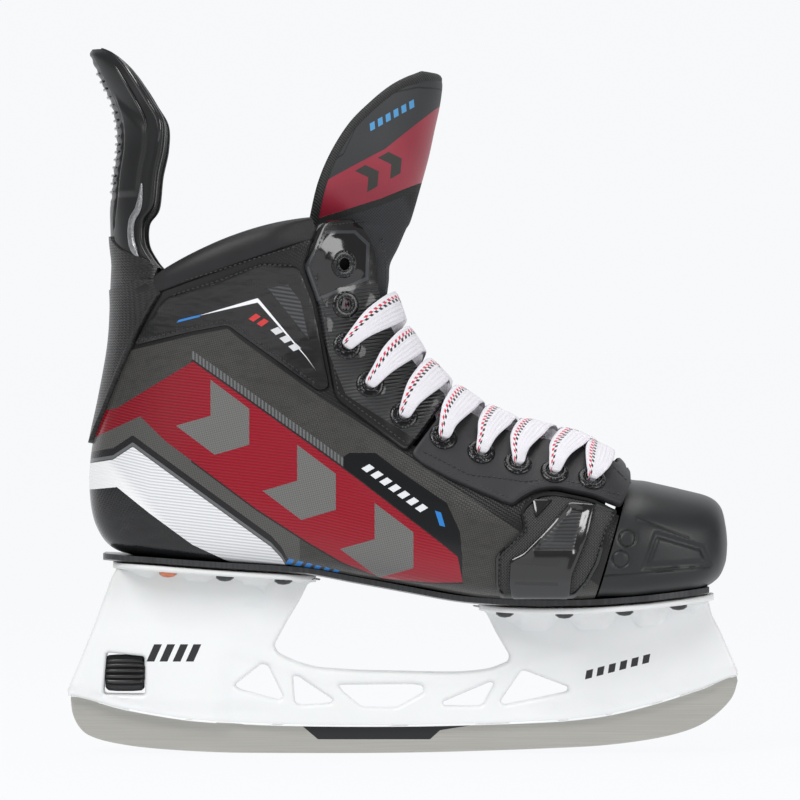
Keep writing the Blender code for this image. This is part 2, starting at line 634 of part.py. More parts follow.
def tongue_top_rows():
    """Outer points of the tongue above the facings, as level rows."""
    rows = []
    for front, height, wing, half, drop in TONGUE_TOP:
        reach = math.acos(max(-0.2, 1 - wing / TONGUE_CURL))
        turn = np.linspace(-reach, reach, TONGUE_COLUMNS)
        x = front - TONGUE_CURL * (1 - np.cos(turn))
        y = half * np.sin(turn)
        z = height - drop * (np.abs(turn) / reach) ** 2
        rows.append(np.stack([x, y, z], axis=-1))
    return np.array(rows)


def build_tongue(rail, stuff):
    """The tongue below and above its flex line, as two pieces with a fine gap between them."""
    low, top = tongue_rows(rail), tongue_top_rows()
    rows = np.concatenate([low, top])
    inward = inward_of(rows)
    if inward[len(low) + 3, TONGUE_COLUMNS // 2, 0] > 0:
        inward = -inward
    shares = np.abs(np.linspace(-1, 1, TONGUE_COLUMNS))
    wall = TONGUE_WALL * (1 - 0.55 * shares ** 3)[None, :, None] * np.ones((len(rows), 1, 1))
    wall[0] *= 0.5
    wall[-2] *= 0.75
    wall[-1] *= 0.35
    inner = rows + inward * wall
    split = len(low) + 2
    outer_low, inner_low = rows[:split + 1].copy(), inner[:split + 1].copy()
    outer_top, inner_top = rows[split:].copy(), inner[split:].copy()
    inner_top[0, :, 2] = outer_top[0, :, 2]
    outer_low[-1, :, 2] -= GAP
    inner_low[-1, :, 2] = outer_low[-1, :, 2]
    tongue = thick_sheet("tongue", outer_low, inner_low, stuff)
    return tongue, thick_sheet("tongue_top", outer_top, inner_top, stuff)


# ---------------------------------------------------------------- the lace
def lace_strand(rail, seats, start_side):
    """Centre points, thickness directions and half widths of one strand, from the toe bar to its end."""
    path = []

    def lay(t, turn, height, half):
        here, outward = front_frame(t, turn)
        path.append((here + outward * height, outward, half))

    def thread(row, side):
        """Down through an eyelet from outside."""
        seat, outward = (np.array(v) for v in seats[row if side < 0 else row + len(EYELETS)])
        middle = front_frame(rail[row][0], side * 1e-3)[0] - seat
        towards = middle - outward * np.dot(middle, outward)
        towards /= np.linalg.norm(towards)
        for level in (EYELET_SEAT + EYELET_LIFT + 1.3, 0.8, -FACING_WALL - 1.4):
            path.append((seat + outward * level, towards, LACE_IN_EYELET))

    over = LAID_GAP + FACING_WALL + 0.9 + LACE_HALF_THICK
    under = LAID_GAP - 1.25 - LACE_HALF_THICK
    crossing = 2.9 if start_side < 0 else 1.2
    bottom = len(EYELETS) - 1
    side = start_side
    t, turn = rail[bottom][0], math.pi - rail[bottom][1]
    for share, height, wide in ((0.02, 2.2, 1), (0.2, 2.6, 1), (0.38, over, 1), (0.62, over + 0.4, 1),
                                (0.86, over + 2.3, 0.75)):
        lay(t, side * turn * share, height, wide * LACE_HALF_WIDTH)
    thread(bottom, side)
    for row in range(bottom, bottom - LACE_ROWS + 1, -1):
        (t0, a0), (t1, a1) = rail[row], rail[row - 1]
        first, last = side * (math.pi - a0), -side * (math.pi - a1)
        for share, height, wide in ((0.09, under - 0.4, 0.5), (0.17, under, 0.8), (0.29, under - 0.2, 1),
                                    (0.36, under, 1), (0.5, crossing, 1), (0.62, over + 0.2, 1), (0.69, over + 0.3, 1),
                                    (0.76, over + 0.2, 1), (0.87, over + 2.2, 0.8), (0.94, over + 2.6, 0.55)):
            along = np.clip((share - 0.1) / 0.8, 0, 1)
            lay(t0 + along * (t1 - t0), first + share * (last - first), height, wide * LACE_HALF_WIDTH)
        side = -side
        thread(row - 1, side)
    last_row = bottom - LACE_ROWS + 1
    for share in np.linspace(0.15, 1, 6):
        t = rail[last_row][0] + share * LACE_TAIL_SECTIONS
        angle = float(np.interp(t, rail[::-1, 0], rail[::-1, 1]))
        wide = 0.5 if share < 0.3 else 0.85
        lay(t, side * (math.pi - angle - 0.12 * min(1, 2 * share)), under - 0.15, wide * LACE_HALF_WIDTH)
    return path


def ribbon(name, path, stuff):
    """A flat ribbon swept along a path of points, thickness directions and half widths."""
    verts, faces, last = [], [], None
    tangents = np.gradient(np.array([p[0] for p in path]), axis=0)
    for (spot, up, half), tangent in zip(path, tangents):
        tangent = tangent / np.linalg.norm(tangent)
        across = np.cross(tangent, up)
        across /= np.linalg.norm(across)
        if last is not None and np.dot(across, last) < 0:
            across = -across
        last = across
        thick = np.cross(across, tangent) * LACE_HALF_THICK * (1.3 if half <= LACE_IN_EYELET else 1)
        verts += [spot + across * a * half + thick * b for a, b in ((-1, -1), (1, -1), (1, 1), (-1, 1))]
    n = len(path)
    for i in range(n - 1):
        faces += [(4 * i + j, 4 * i + (j + 1) % 4, 4 * i + 4 + (j + 1) % 4, 4 * i + 4 + j) for j in range(4)]
    faces += [(3, 2, 1, 0), tuple(4 * (n - 1) + j for j in range(4))]
    return mesh_object(name, verts, faces, stuff)


def build_lace(rail, seats, stuff):
    """One lace, from its end on one side round the toe bar to its end on the other side."""
    outer, inner = lace_strand(rail, seats, -1), lace_strand(rail, seats, 1)
    return ribbon("lace", outer[::-1] + inner, stuff)


# ---------------------------------------------------------------- the blade holder and runner
def holder_half_width(x, z):
    """Half thickness of the holder's body at a point of its side view."""
    half = float(np.interp(z, [8, 28, 44, 58, 68, 76, 86], [4.4, 5.0, 6.0, 8.0, 10.0, 12.5, 15.0]))
    if x < -80 and z < 60:
        half = max(half, 7.6)
    return half


def slab(name, outline, half_width, step, stuff=None):
    """A side-view outline made solid, with a thickness that varies over it."""
    flat = bmesh.new()
    flat.faces.new([flat.verts.new((x, 0, z)) for x, z in outline])
    xs, zs = [p[0] for p in outline], [p[1] for p in outline]
    cuts = [((x, 0, 0), (1, 0, 0)) for x in np.arange(min(xs) + step, max(xs), step)]
    cuts += [((0, 0, z), (0, 0, 1)) for z in np.arange(min(zs) + 0.5 * step, max(zs), 0.5 * step)]
    for spot, normal in cuts:
        geometry = flat.verts[:] + flat.edges[:] + flat.faces[:]
        bmesh.ops.bisect_plane(flat, geom=geometry, dist=0.3, plane_co=spot, plane_no=normal)
    bmesh.ops.remove_doubles(flat, verts=flat.verts, dist=0.4)
    bmesh.ops.triangulate(flat, faces=flat.faces)
    flat.verts.index_update()
    low = [(v.co.x, -half_width(v.co.x, v.co.z), v.co.z) for v in flat.verts]
    high = [(x, -y, z) for x, y, z in low]
    n = len(low)
    faces = [tuple(v.index for v in f.verts) for f in flat.faces]
    faces += [tuple(n + i for i in reversed(f)) for f in faces]
    for e in flat.edges:
        if e.is_boundary:
            a, b = (v.index for v in e.verts)
            faces.append((a, b, n + b, n + a))
    flat.free()
    return mesh_object(name, low + high, faces, stuff)


def flange_half_width(x, first, last, full):
    """Half width of a rivet flange, rounded at both ends."""
    end = min(x - first, last - x) / 16.0
    return full * math.sqrt(max(0.0, 1 - (1 - min(1.0, max(end, 0.0))) ** 2) * 0.93 + 0.07)


def flange(name, first, last, full, stuff):
    top, low = [], []
    for x in np.concatenate([[first, first + 1.5, first + 5], np.linspace(first + 11, last - 11, 9),
                             [last - 5, last - 1.5, last]]):
        z = float(height_at(SOLE_LINE, x)) - GAP
        half = flange_half_width(x, first, last, full(x))
        ys = np.linspace(-half, half, 7)
        top.append([(x, y, z) for y in ys])
        low.append([(x, y, z - FLANGE_WALL) for y in ys])
    return thick_sheet(name, np.array(top), np.array(low), stuff)


def slot_line(first, last, lift, count=30):
    """Points along the holder's lower edge, raised."""
    return [(x, float(height_at(RAIL_LINE, x)) + lift(x)) for x in np.linspace(first, last, count)]


def embed(x):
    """How deep the runner sits in the holder, less under the lock wheel."""
    return float(np.interp(x, [-112, -108], [2.8, RUNNER_EMBED]))


def build_holder(stuff):
    """The blade holder: two towers, a trussed bridge, rivet flanges, runner slot and lock pocket."""
    under = [tuple(p) for p in RAIL_LINE]
    rear_tower = [(-147.6, 27.6), (-141.5, 42.1), (-136.2, 55.3), (-132.2, 65.9), (-128.0, 77.0), (-125.5, 81.6)]
    arch = [(-41.0, 77.0), (-45.0, 68.0), (-49.9, 60.1), (-57.0, 47.2), (-55.0, 43.8), (-48.2, 40.6), (-38.5, 37.6),
            (-20.0, 36.4), (-1.5, 36.0), (15.0, 35.6), (27.1, 35.7), (38.1, 37.0), (46.0, 40.2), (46.6, 43.0),
            (40.0, 54.0), (35.5, 63.9)]
    front_tower = [(134.0, 66.3), (135.3, 61.0), (139.0, 54.0), (142.5, 46.0), (146.7, 36.8)]
    sole_rear = [(x, float(height_at(SOLE_LINE, x)) - GAP - 1.2) for x in (-110.0, -85.0, -60.0, -44.0)]
    sole_front = [(x, float(height_at(SOLE_LINE, x)) - GAP - 1.2) for x in (40.0, 60.0, 85.0, 110.0, 130.0)]
    outline = under + front_tower[::-1] + sole_front[::-1] + arch[::-1] + sole_rear[::-1] + rear_tower[::-1]
    holder = slab("blade_holder", outline, holder_half_width, 17.0, stuff)
    windows = [
        [(-62.3, 39.4), (-74.4, 29.8), (-72.0, 27.9), (-54.6, 23.3), (-52.9, 25.0), (-59.5, 38.6)],
        [(-48.6, 33.7), (-47.6, 22.0), (-45.4, 21.2), (-32.0, 22.0), (-31.0, 23.6), (-46.5, 33.9)],
        [(-28.6, 30.0), (-27.0, 27.3), (-18.4, 20.4), (-3.3, 20.0), (8.8, 26.6), (8.6, 29.6), (4.0, 30.4)],
        [(17.4, 22.6), (38.2, 31.4), (39.8, 30.4), (35.0, 21.6), (33.2, 20.8), (17.8, 20.8)],
        [(51.8, 36.2), (53.6, 36.2), (72.4, 29.2), (72.0, 26.9), (44.0, 21.2), (42.6, 22.8)],
    ]
    tools = [plate("cutter", w, -30, 30) for w in windows]
    clear = RUNNER_HALF + SLOT_GAP
    groove = slot_line(RUNNER_FIRST, RUNNER_LAST, lambda x: embed(x) + SLOT_GAP)
    groove = [(-155, 0.0), (-155, groove[0][1])] + groove + [(155, groove[-1][1]), (155, 0.0)]
    tools.append(plate("cutter", groove, -clear, clear))
    tang = [(TANG_FIRST - 0.4, 10.0), (TANG_FIRST - 0.4, TANG_TOP + 0.4), (TANG_LAST + 0.4, TANG_TOP + 0.4),
            (TANG_LAST + 0.4, 10.0)]
    tab = [(TAB_FIRST - 0.4, 10.0), (TAB_FIRST - 0.4, TAB_TOP + 0.4), (TAB_LAST + 0.4, TAB_TOP + 0.4),
           (TAB_LAST + 0.4, 10.0)]
    tools += [plate("cutter", tang, -clear, clear), plate("cutter", tab, -clear, clear)]
    pocket_half_x = WHEEL_LENGTH / 2 + 0.6
    reach = WHEEL_RADIUS + 1.0
    pocket = [(WHEEL_X - pocket_half_x, WHEEL_Z - reach), (WHEEL_X + pocket_half_x, WHEEL_Z - reach),
              (WHEEL_X + pocket_half_x, WHEEL_Z + reach), (WHEEL_X - pocket_half_x, WHEEL_Z + reach)]
    tools.append(plate("cutter", pocket, -30, 30))
    run_first = WHEEL_X + pocket_half_x - 1.0
    run_last = FORK_TIP_X + RUNNER_DROP + 0.8
    bolt_run = [(run_first, WHEEL_Z - FORK_HALF_Z - 0.4), (run_last, WHEEL_Z - FORK_HALF_Z - 0.4),
                (run_last, WHEEL_Z + FORK_HALF_Z + 0.4), (run_first, WHEEL_Z + FORK_HALF_Z + 0.4)]
    tools.append(plate("cutter", bolt_run, -FORK_HALF_Y - 0.4, FORK_HALF_Y + 0.4))
    cut(holder, tools)
    flanges = [flange("join", -127.4, -38.5, lambda x: np.interp(x, [-100, -50], [27.5, 24.5]), None),
               flange("join", 33.2, 136.2, lambda x: np.interp(x, [40, 70, 95, 130], [31, 37.5, 37, 27]), None)]
    cut(holder, flanges, "UNION")
    holder.data.shade_smooth()
    holder.data.set_sharp_from_angle(angle=math.radians(35))
    return holder


def build_rivets(layers, stuff, copper):
    """Rivets through the flange, the outsole and the shell, and the holes they stand in."""
    rows = [(x, y, "heel") for x, y in zip(HEEL_RIVETS_X, HEEL_RIVETS_Y)]
    rows += [(x, y, "toe") for x, y in zip(TOE_RIVETS_X, TOE_RIVETS_Y)]
    cutters = []
    for k, (x, y, end) in enumerate(rows):
        for side, word in ((-1, "outer"), (1, "inner")):
            sole = float(height_at(SOLE_LINE, x))
            slope = float(height_at(SOLE_LINE, x + 2) - height_at(SOLE_LINE, x - 2)) / 4
            up = Vector((-slope, 0, 1)).normalized()
            seat = Vector((x, side * y, sole - GAP - FLANGE_WALL - GAP))
            profile = [(0, -RIVET_DOME), (0.6 * RIVET_HEAD, -0.8 * RIVET_DOME), (RIVET_HEAD, 0), (RIVET_SHANK, 0),
                       (RIVET_SHANK, RIVET_LENGTH), (0, RIVET_LENGTH)]
            rivet(f"rivet_{end}_{word}_{k + 1}", profile, 8, seat, up, copper if k == 0 else stuff)
            cutters.append((seat - up * 4, seat + up * (RIVET_LENGTH + 4)))
    for layer in layers:
        cut(layer, [rod("cutter", a, b, RIVET_HOLE, 8) for a, b in cutters])


def rivet(name, profile, sides, origin, direction, stuff):
    """A turned solid whose profile starts and ends on the axis."""
    turn = Vector(direction).to_track_quat("Z", "Y").to_matrix()
    verts = [Vector(origin) + turn @ Vector((0, 0, profile[0][1]))]
    angles = np.linspace(0, 2 * math.pi, sides, endpoint=False)
    for radius, height in profile[1:-1]:
        verts += [Vector(origin) + turn @ Vector((radius * math.cos(a), radius * math.sin(a), height)) for a in angles]
    verts.append(Vector(origin) + turn @ Vector((0, 0, profile[-1][1])))
    rows, last = len(profile) - 2, len(verts) - 1
    faces = [(0, 1 + (j + 1) % sides, 1 + j) for j in range(sides)]
    for i in range(rows - 1):
        a, b = 1 + i * sides, 1 + (i + 1) * sides
        faces += [(a + j, a + (j + 1) % sides, b + (j + 1) % sides, b + j) for j in range(sides)]
    top = 1 + (rows - 1) * sides
    faces += [(top + j, top + (j + 1) % sides, last) for j in range(sides)]
    return mesh_object(name, verts, faces, stuff)


def build_runner(stuff):
    """The steel runner, with the tang and its cam slot at the heel and a locating tab at the toe."""
    top = slot_line(RUNNER_FIRST, RUNNER_LAST, embed)
    heel = [tuple(p) for p in EDGE_HEEL]
    outline = heel + list(EDGE_FLAT) + list(EDGE_TOE) + top[::-1]
    runner = plate("runner", outline, -RUNNER_HALF, RUNNER_HALF, stuff)
    tang = [(TANG_FIRST, 14.0), (TANG_FIRST, TANG_TOP - 3), (TANG_FIRST + 3, TANG_TOP), (TANG_LAST - 3, TANG_TOP),
            (TANG_LAST, TANG_TOP - 3), (TANG_LAST, 14.0)]
    tab = [(TAB_FIRST, 16.0), (TAB_FIRST, TAB_TOP - 2), (TAB_FIRST + 2, TAB_TOP), (TAB_LAST - 2, TAB_TOP),
           (TAB_LAST, TAB_TOP - 2), (TAB_LAST, 16.0)]
    cut(runner, [plate("join", tang, -RUNNER_HALF, RUNNER_HALF), plate("join", tab, -RUNNER_HALF, RUNNER_HALF)],
        "UNION")
    bore = CROSS_PIN_RADIUS + 0.35
    end = RUNNER_DROP
    slot = [(CROSS_PIN_X + bore * math.cos(a), WHEEL_Z + bore * math.sin(a))
            for a in np.radians(np.arange(135, 316, 30))]
    slot += [(CROSS_PIN_X + end + bore * math.cos(a), WHEEL_Z + end + bore * math.sin(a))
             for a in np.radians(np.arange(-45, 136, 30))]
    return cut(runner, [plate("cutter", slot, -5, 5)])


def build_lock(black, steel):
    """The ribbed lock wheel and the forked bolt it drives."""
    sides = 3 * WHEEL_RIBS
    bore = BOLT_RADIUS + BOLT_CLEAR
    verts = []
    for k in range(sides):
        a = 2 * math.pi * k / sides
        radius = WHEEL_RADIUS - (WHEEL_RIB if k % 3 == 2 else 0)
        for reach, x in ((radius, -WHEEL_LENGTH / 2), (radius, WHEEL_LENGTH / 2), (bore, WHEEL_LENGTH / 2),
                         (bore, -WHEEL_LENGTH / 2)):
            verts.append((WHEEL_X + x, reach * math.cos(a), WHEEL_Z + reach * math.sin(a)))
    faces = [(4 * i + j, 4 * i + (j + 1) % 4, 4 * ((i + 1) % sides) + (j + 1) % 4, 4 * ((i + 1) % sides) + j)
             for i in range(sides) for j in range(4)]
    wheel = mesh_object("lock_wheel", verts, faces, black)
    first = WHEEL_X - WHEEL_LENGTH / 2 + 0.4
    bolt = rod("lock_bolt", (first, 0, WHEEL_Z), (FORK_ROOT_X + 2, 0, WHEEL_Z), BOLT_RADIUS, 14, steel)
    low, high = WHEEL_Z - FORK_HALF_Z, WHEEL_Z + FORK_HALF_Z
    block = [(FORK_ROOT_X, low), (FORK_TIP_X, low), (FORK_TIP_X, high), (FORK_ROOT_X, high)]
    cut(bolt, [plate("join", block, -FORK_HALF_Y, FORK_HALF_Y)], "UNION")
    throat = [(FORK_ROOT_X + 3.2, low - 2), (FORK_TIP_X + 2, low - 2), (FORK_TIP_X + 2, high + 2),
              (FORK_ROOT_X + 3.2, high + 2)]
    cut(bolt, [plate("cutter", throat, -RUNNER_HALF - 0.4, RUNNER_HALF + 0.4)])
    pin = rod("join", (CROSS_PIN_X, -FORK_HALF_Y + 0.5, WHEEL_Z), (CROSS_PIN_X, FORK_HALF_Y - 0.5, WHEEL_Z),
              CROSS_PIN_RADIUS, 12)
    cut(bolt, [pin], "UNION")
    return wheel, bolt


# ---------------------------------------------------------------- the tendon guard
def guard_rows(rows, count):
    """Outer points of the tendon guard, level by level: a U open to the front."""
    grid = []
    for height, back, wing, half in rows:
        height = GUARD[0][0] + (height - GUARD[0][0]) * GUARD_STRETCH
        reach = math.acos(max(-0.3, 1 - wing / GUARD_CURL))
        turn = np.linspace(-reach, reach, count)
        x = back + GUARD_CURL * (1 - np.cos(turn))
        grid.append(np.stack([x, half * np.sin(turn), np.full(count, height)], axis=-1))
    return np.array(grid)


def build_guard(stuff, felt):
    """The moulded tendon guard and the felt pad on its front."""
    heights = np.array([row[0] for row in GUARD])
    levels = np.concatenate([[heights[0]], np.linspace(heights[0] + 4, heights[-1], 13)])
    rows = through(np.array(GUARD), np.interp(levels, heights, np.arange(len(GUARD))))
    outer = guard_rows(rows, 15)
    inward = inward_of(outer)
    if inward[4, 7, 0] < 0:
        inward = -inward
    wall = GUARD_WALL * np.ones((len(outer), 1, 1))
    wall[-1] *= 0.55
    guard = thick_sheet("tendon_guard", outer, outer + inward * wall, stuff)
    middle = slice(2, 13)
    near = outer[1:-1, middle] + inward[1:-1, middle] * (GUARD_WALL + GAP)
    pad = GUARD_PAD_WALL * (1 - 0.6 * np.abs(np.linspace(-1, 1, 11)) ** 3)[None, :, None]
    return guard, thick_sheet("tendon_pad", near, near + inward[1:-1, middle] * pad, felt)


def joint_origin(obj, spot):
    """Moves an object's origin to a point in millimetres and leaves its shape where it is."""
    shift = Vector([MM * c for c in spot])
    obj.data.transform(Matrix.Translation(-shift))
    obj.location = shift


def main():
    clear_scene()
    black = material("black_composite", (0.03, 0.03, 0.032), 0.5)
    rubber = material("matt_black_tpu", (0.03, 0.03, 0.03), 0.6)
    gloss = material("gloss_black_leather", (0.015, 0.015, 0.016), 0.2)
    cloth = material("black_leather", (0.035, 0.035, 0.037), 0.55)
    foam = material("black_felt", (0.02, 0.02, 0.02), 0.95)
    white = material("white_nylon", (0.85, 0.86, 0.87), 0.35)
    steel = material("runner_steel", (0.62, 0.62, 0.60), 0.3, 1.0)
    dark = material("blackened_steel", (0.08, 0.08, 0.08), 0.4, 1.0)
    copper = material("copper", (0.72, 0.35, 0.22), 0.3, 1.0)
    cord = material("white_lace", (0.85, 0.85, 0.84), 0.85)

    tree = form_tree()
    rail = eyelet_rail(tree)
    cap = build_toe_cap(rubber)
    shell = build_shell(rail, black)
    build_liner(rail, foam)
    build_collar(rail, cloth)
    build_back_strap(cloth)
    outsole = build_outsole(tree, black)
    build_footbed(rail, foam)
    facings = build_facings(tree, cloth, gloss)
    seats = build_eyelets(tree, facings, dark)
    build_wraps(tree, gloss)
    build_side_panels(tree, gloss)
    _, tongue_top = build_tongue(rail, foam)
    build_lace(rail, seats, cord)
    holder = build_holder(white)
    build_rivets((holder, outsole, shell, cap), dark, copper)
    runner = build_runner(steel)
    wheel, bolt = build_lock(rubber, steel)
    guard, guard_pad = build_guard(rubber, foam)

    joint_origin(tongue_top, (TONGUE_AXIS[0], 0, TONGUE_AXIS[1]))
    joint_origin(guard, (GUARD_AXIS[0], 0, GUARD_AXIS[1]))
    joint_origin(guard_pad, (GUARD_AXIS[0], 0, GUARD_AXIS[1]))
    joint_origin(wheel, (WHEEL_X, 0, WHEEL_Z))
    joint_origin(bolt, (CROSS_PIN_X, 0, WHEEL_Z))
    joint_origin(runner, (0, 0, 0))


if __name__ == "__main__":
    main()
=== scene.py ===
"""Right-foot ice hockey skate: its surfaces, stitching and finishes, built on the packed frame.

Laid out as a Blender add-on.  Each group of pieces has its own operator, and main() runs them in order.
Lengths in the tables are millimetres.  Frame: +X towards the toe, +Z up, -Y is the outer side.
"""

import functools
import math

import bmesh
import bpy
import numpy as np
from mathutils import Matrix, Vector
from mathutils.bvhtree import BVHTree
from mathutils.geometry import delaunay_2d_cdt


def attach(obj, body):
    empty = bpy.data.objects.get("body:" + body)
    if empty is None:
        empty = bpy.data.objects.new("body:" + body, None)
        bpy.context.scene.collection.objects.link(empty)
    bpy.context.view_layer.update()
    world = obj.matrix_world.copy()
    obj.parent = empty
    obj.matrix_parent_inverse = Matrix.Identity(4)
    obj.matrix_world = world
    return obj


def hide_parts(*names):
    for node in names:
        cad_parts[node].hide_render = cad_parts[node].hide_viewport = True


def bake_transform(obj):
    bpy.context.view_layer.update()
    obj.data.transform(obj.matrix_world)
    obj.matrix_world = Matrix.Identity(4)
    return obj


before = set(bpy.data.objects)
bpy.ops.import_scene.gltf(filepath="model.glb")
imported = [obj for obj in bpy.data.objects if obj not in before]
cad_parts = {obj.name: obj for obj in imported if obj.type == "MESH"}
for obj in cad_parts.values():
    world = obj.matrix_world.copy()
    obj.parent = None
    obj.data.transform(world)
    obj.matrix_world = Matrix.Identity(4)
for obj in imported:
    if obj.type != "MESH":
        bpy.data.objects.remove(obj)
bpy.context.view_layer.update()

bl_info = {
    "name": "Ice Hockey Skate",
    "version": (1, 0, 0),
    "blender": (4, 5, 0),
    "location": "3D View > Sidebar > Skate",
    "description": "Builds the surfaces and finishes of an ice hockey skate on its frame",
    "category": "Add Mesh",
}

MM = 0.001
SIDES = ((-1, "outer"), (1, "inner"))

# ---------------------------------------------------------------- sizes
LAID = 1.0                   # how far the laid pieces stand off the form
SHELL_WALL = 2.4
CAP_WALL = 3.0
LINER_WALL = 4.6
LINING_GAP = 1.4
FACING_WALL = 1.6
TONGUE_WALL = 6.5
GUARD_WALL = 3.2
GUARD_PAD_WALL = 3.4
THROAT_HALF = 20.0
EDGE_FROM_EYELET = 8.5
LACE_HALF_THICK = 0.6
LACE_ROWS = 8
RUNNER_HALF = 1.5
WHEEL = (-122.4, 35.2, 8.1, 17.0)    # lock wheel: x, z, radius and length
WHEEL_RIBS = 18
CROSS_PIN_X = -98.5                  # the bolt's cross pin, at rest
CAM_SLOT_RADIUS = 1.75
RUNNER_DROP = 5.0
EYELET_HOLE = 3.4                    # radius of the hole in a facing
RING_SAMPLES = 900
STITCH_STEP = 0.4                    # share of a stitch between the spots that follow the form
BAR_SHARE = 0.6                      # share of its pitch that a printed bar fills
AIM = (0.0, 0.0, 0.15)               # where the lamps point, in metres
CAMERA = (-0.0015, -2.5, 0.1552)
SENSOR = 36.0

# The boot's form, as sections from the toe to the collar.  Each row holds a section's lower or rear
# point (x, z), its upper or front point (x, z), its half width, how square its lower and upper
# halves are, the height share of its widest point, and the sideways shift of its centre.
SECTIONS = np.array([
    [142.2, 90.0, 141.2, 102.0, 13.0, 2.4, 2.2, 0.48, 2.6],
    [141.0, 82.5, 139.3, 108.5, 24.5, 2.6, 2.3, 0.47, 2.5],
    [137.0, 76.0, 134.0, 112.8, 33.0, 2.9, 2.4, 0.45, 2.3],
    [128.0, 72.0, 122.0, 116.0, 39.5, 3.6, 2.5, 0.42, 1.8],
    [108.0, 69.2, 109.0, 119.0, 45.0, 4.2, 2.5, 0.40, 1.0],
    [83.0, 67.8, 98.5, 121.8, 48.3, 4.8, 2.3, 0.38, 0.0],
    [71.0, 67.5, 90.0, 131.5, 49.0, 5.0, 2.0, 0.38, -0.6],
    [55.0, 67.5, 72.0, 139.2, 48.8, 5.0, 1.85, 0.40, -1.0],
    [34.0, 68.6, 48.0, 145.0, 47.2, 5.0, 1.8, 0.42, -1.2],
    [10.0, 72.6, 28.5, 155.0, 44.2, 5.0, 1.85, 0.44, -1.0],
    [-16.0, 77.0, 14.0, 167.0, 41.2, 5.0, 2.0, 0.46, -0.7],
    [-45.0, 81.4, 3.5, 180.0, 38.6, 5.0, 2.2, 0.48, -0.4],
    [-78.0, 83.6, -3.0, 192.0, 37.0, 5.0, 2.4, 0.50, -0.2],
    [-106.0, 85.6, -6.0, 201.0, 36.0, 4.5, 2.6, 0.50, 0.0],
    [-126.0, 89.5, -6.5, 208.0, 35.4, 3.6, 2.6, 0.50, 0.0],
    [-135.0, 100.0, -6.5, 213.0, 35.3, 3.0, 2.6, 0.50, 0.0],
    [-138.0, 116.0, -7.0, 217.0, 35.8, 2.6, 2.6, 0.50, 0.0],
    [-137.0, 134.0, -8.0, 221.0, 36.8, 2.4, 2.6, 0.50, 0.0],
    [-132.5, 156.0, -10.5, 225.0, 38.2, 2.3, 2.6, 0.50, 0.0],
    [-128.6, 178.0, -14.5, 229.5, 39.6, 2.2, 2.7, 0.50, 0.0],
    [-127.4, 194.0, -19.0, 232.5, 40.6, 2.2, 2.7, 0.50, 0.0],
    [-127.6, 204.0, -22.0, 238.0, 41.2, 2.2, 2.7, 0.50, 0.0],
])
CAP_END = 5.0
SHELL_END = 20.0
TOP_END = len(SECTIONS) - 1.0

# Underside of the outsole, lower edge of the blade holder and lower edge of the runner, (x, z)
SOLE_LINE = np.array([
    [-136.0, 85.2], [-122.0, 84.2], [-80.0, 81.4], [-42.0, 79.0], [-22.0, 75.2], [0.0, 71.2],
    [25.0, 66.9], [50.0, 65.4], [77.0, 65.4], [100.0, 66.7], [120.0, 68.7], [138.0, 70.7],
])
RAIL_LINE = np.array([
    [-147.0, 25.4], [-122.5, 19.2], [-93.9, 14.4], [-55.7, 12.1], [-1.5, 11.7], [40.2, 12.6],
    [70.5, 14.0], [90.7, 16.6], [110.9, 21.6], [131.1, 28.0], [146.9, 34.2],
])
EDGE_LINE = np.array([
    [-146.3, 23.6], [-145.4, 17.2], [-142.6, 11.5], [-137.8, 7.5], [-127.3, 4.4], [-110.0, 2.0], [-84.0, 0.4],
    [-60.0, 0.0], [-10.0, 0.0], [30.0, 0.8], [70.5, 2.3], [90.7, 3.6], [110.9, 6.4], [126.0, 10.3],
    [136.1, 15.8], [144.2, 23.9], [147.0, 31.6],
])
TONGUE_STATIONS = (5.6, 6.3, 7.0, 7.8, 8.7, 9.6, 10.5, 11.5, 12.7, 14.0, 15.6)
TONGUE_CURL = 44.0
TONGUE_COLUMNS = 15
# Rows of the tongue above the facings: front x, height, wing reach, half width, wing drop
TONGUE_TOP = (
    (-2.4, 222.0, 39.0, 21.0, 3.0), (1.0, 230.0, 41.0, 20.5, 0.5), (3.2, 234.5, 42.5, 21.5, 0.0),
    (7.3, 249.0, 43.0, 31.0, 0.0), (10.8, 262.0, 41.0, 34.0, 0.0), (13.4, 274.0, 36.0, 34.0, 0.0),
    (15.4, 283.0, 29.0, 34.0, 0.0), (16.5, 290.0, 21.5, 34.0, 0.0), (16.8, 294.5, 14.0, 34.0, 0.0),
    (16.2, 296.9, 8.0, 34.0, 0.0),
)
GUARD_CURL = 34.0
# Rows of the tendon guard: height, back x, wing reach, half width
GUARD = (
    (212.6, -127.6, 22.0, 33.0), (217.0, -127.8, 18.0, 32.0), (224.0, -128.6, 15.0, 31.0),
    (233.0, -129.0, 15.5, 30.0), (240.0, -129.0, 20.0, 29.5), (254.0, -127.8, 20.5, 29.0),
    (266.0, -126.3, 21.5, 28.5), (277.0, -126.8, 22.0, 28.0), (286.0, -129.0, 19.0, 27.0),
    (294.0, -132.6, 17.5, 26.0), (301.0, -135.6, 15.5, 24.0), (306.5, -137.9, 12.0, 20.0),
    (309.2, -137.6, 6.0, 15.0),
)
EYELETS = (
    (-27.3, 214.3), (-26.2, 196.5), (-24.9, 178.4), (-14.9, 161.4), (-0.3, 147.6),
    (16.7, 138.0), (33.1, 131.1), (49.3, 126.0), (65.1, 122.4), (81.0, 119.4),
)
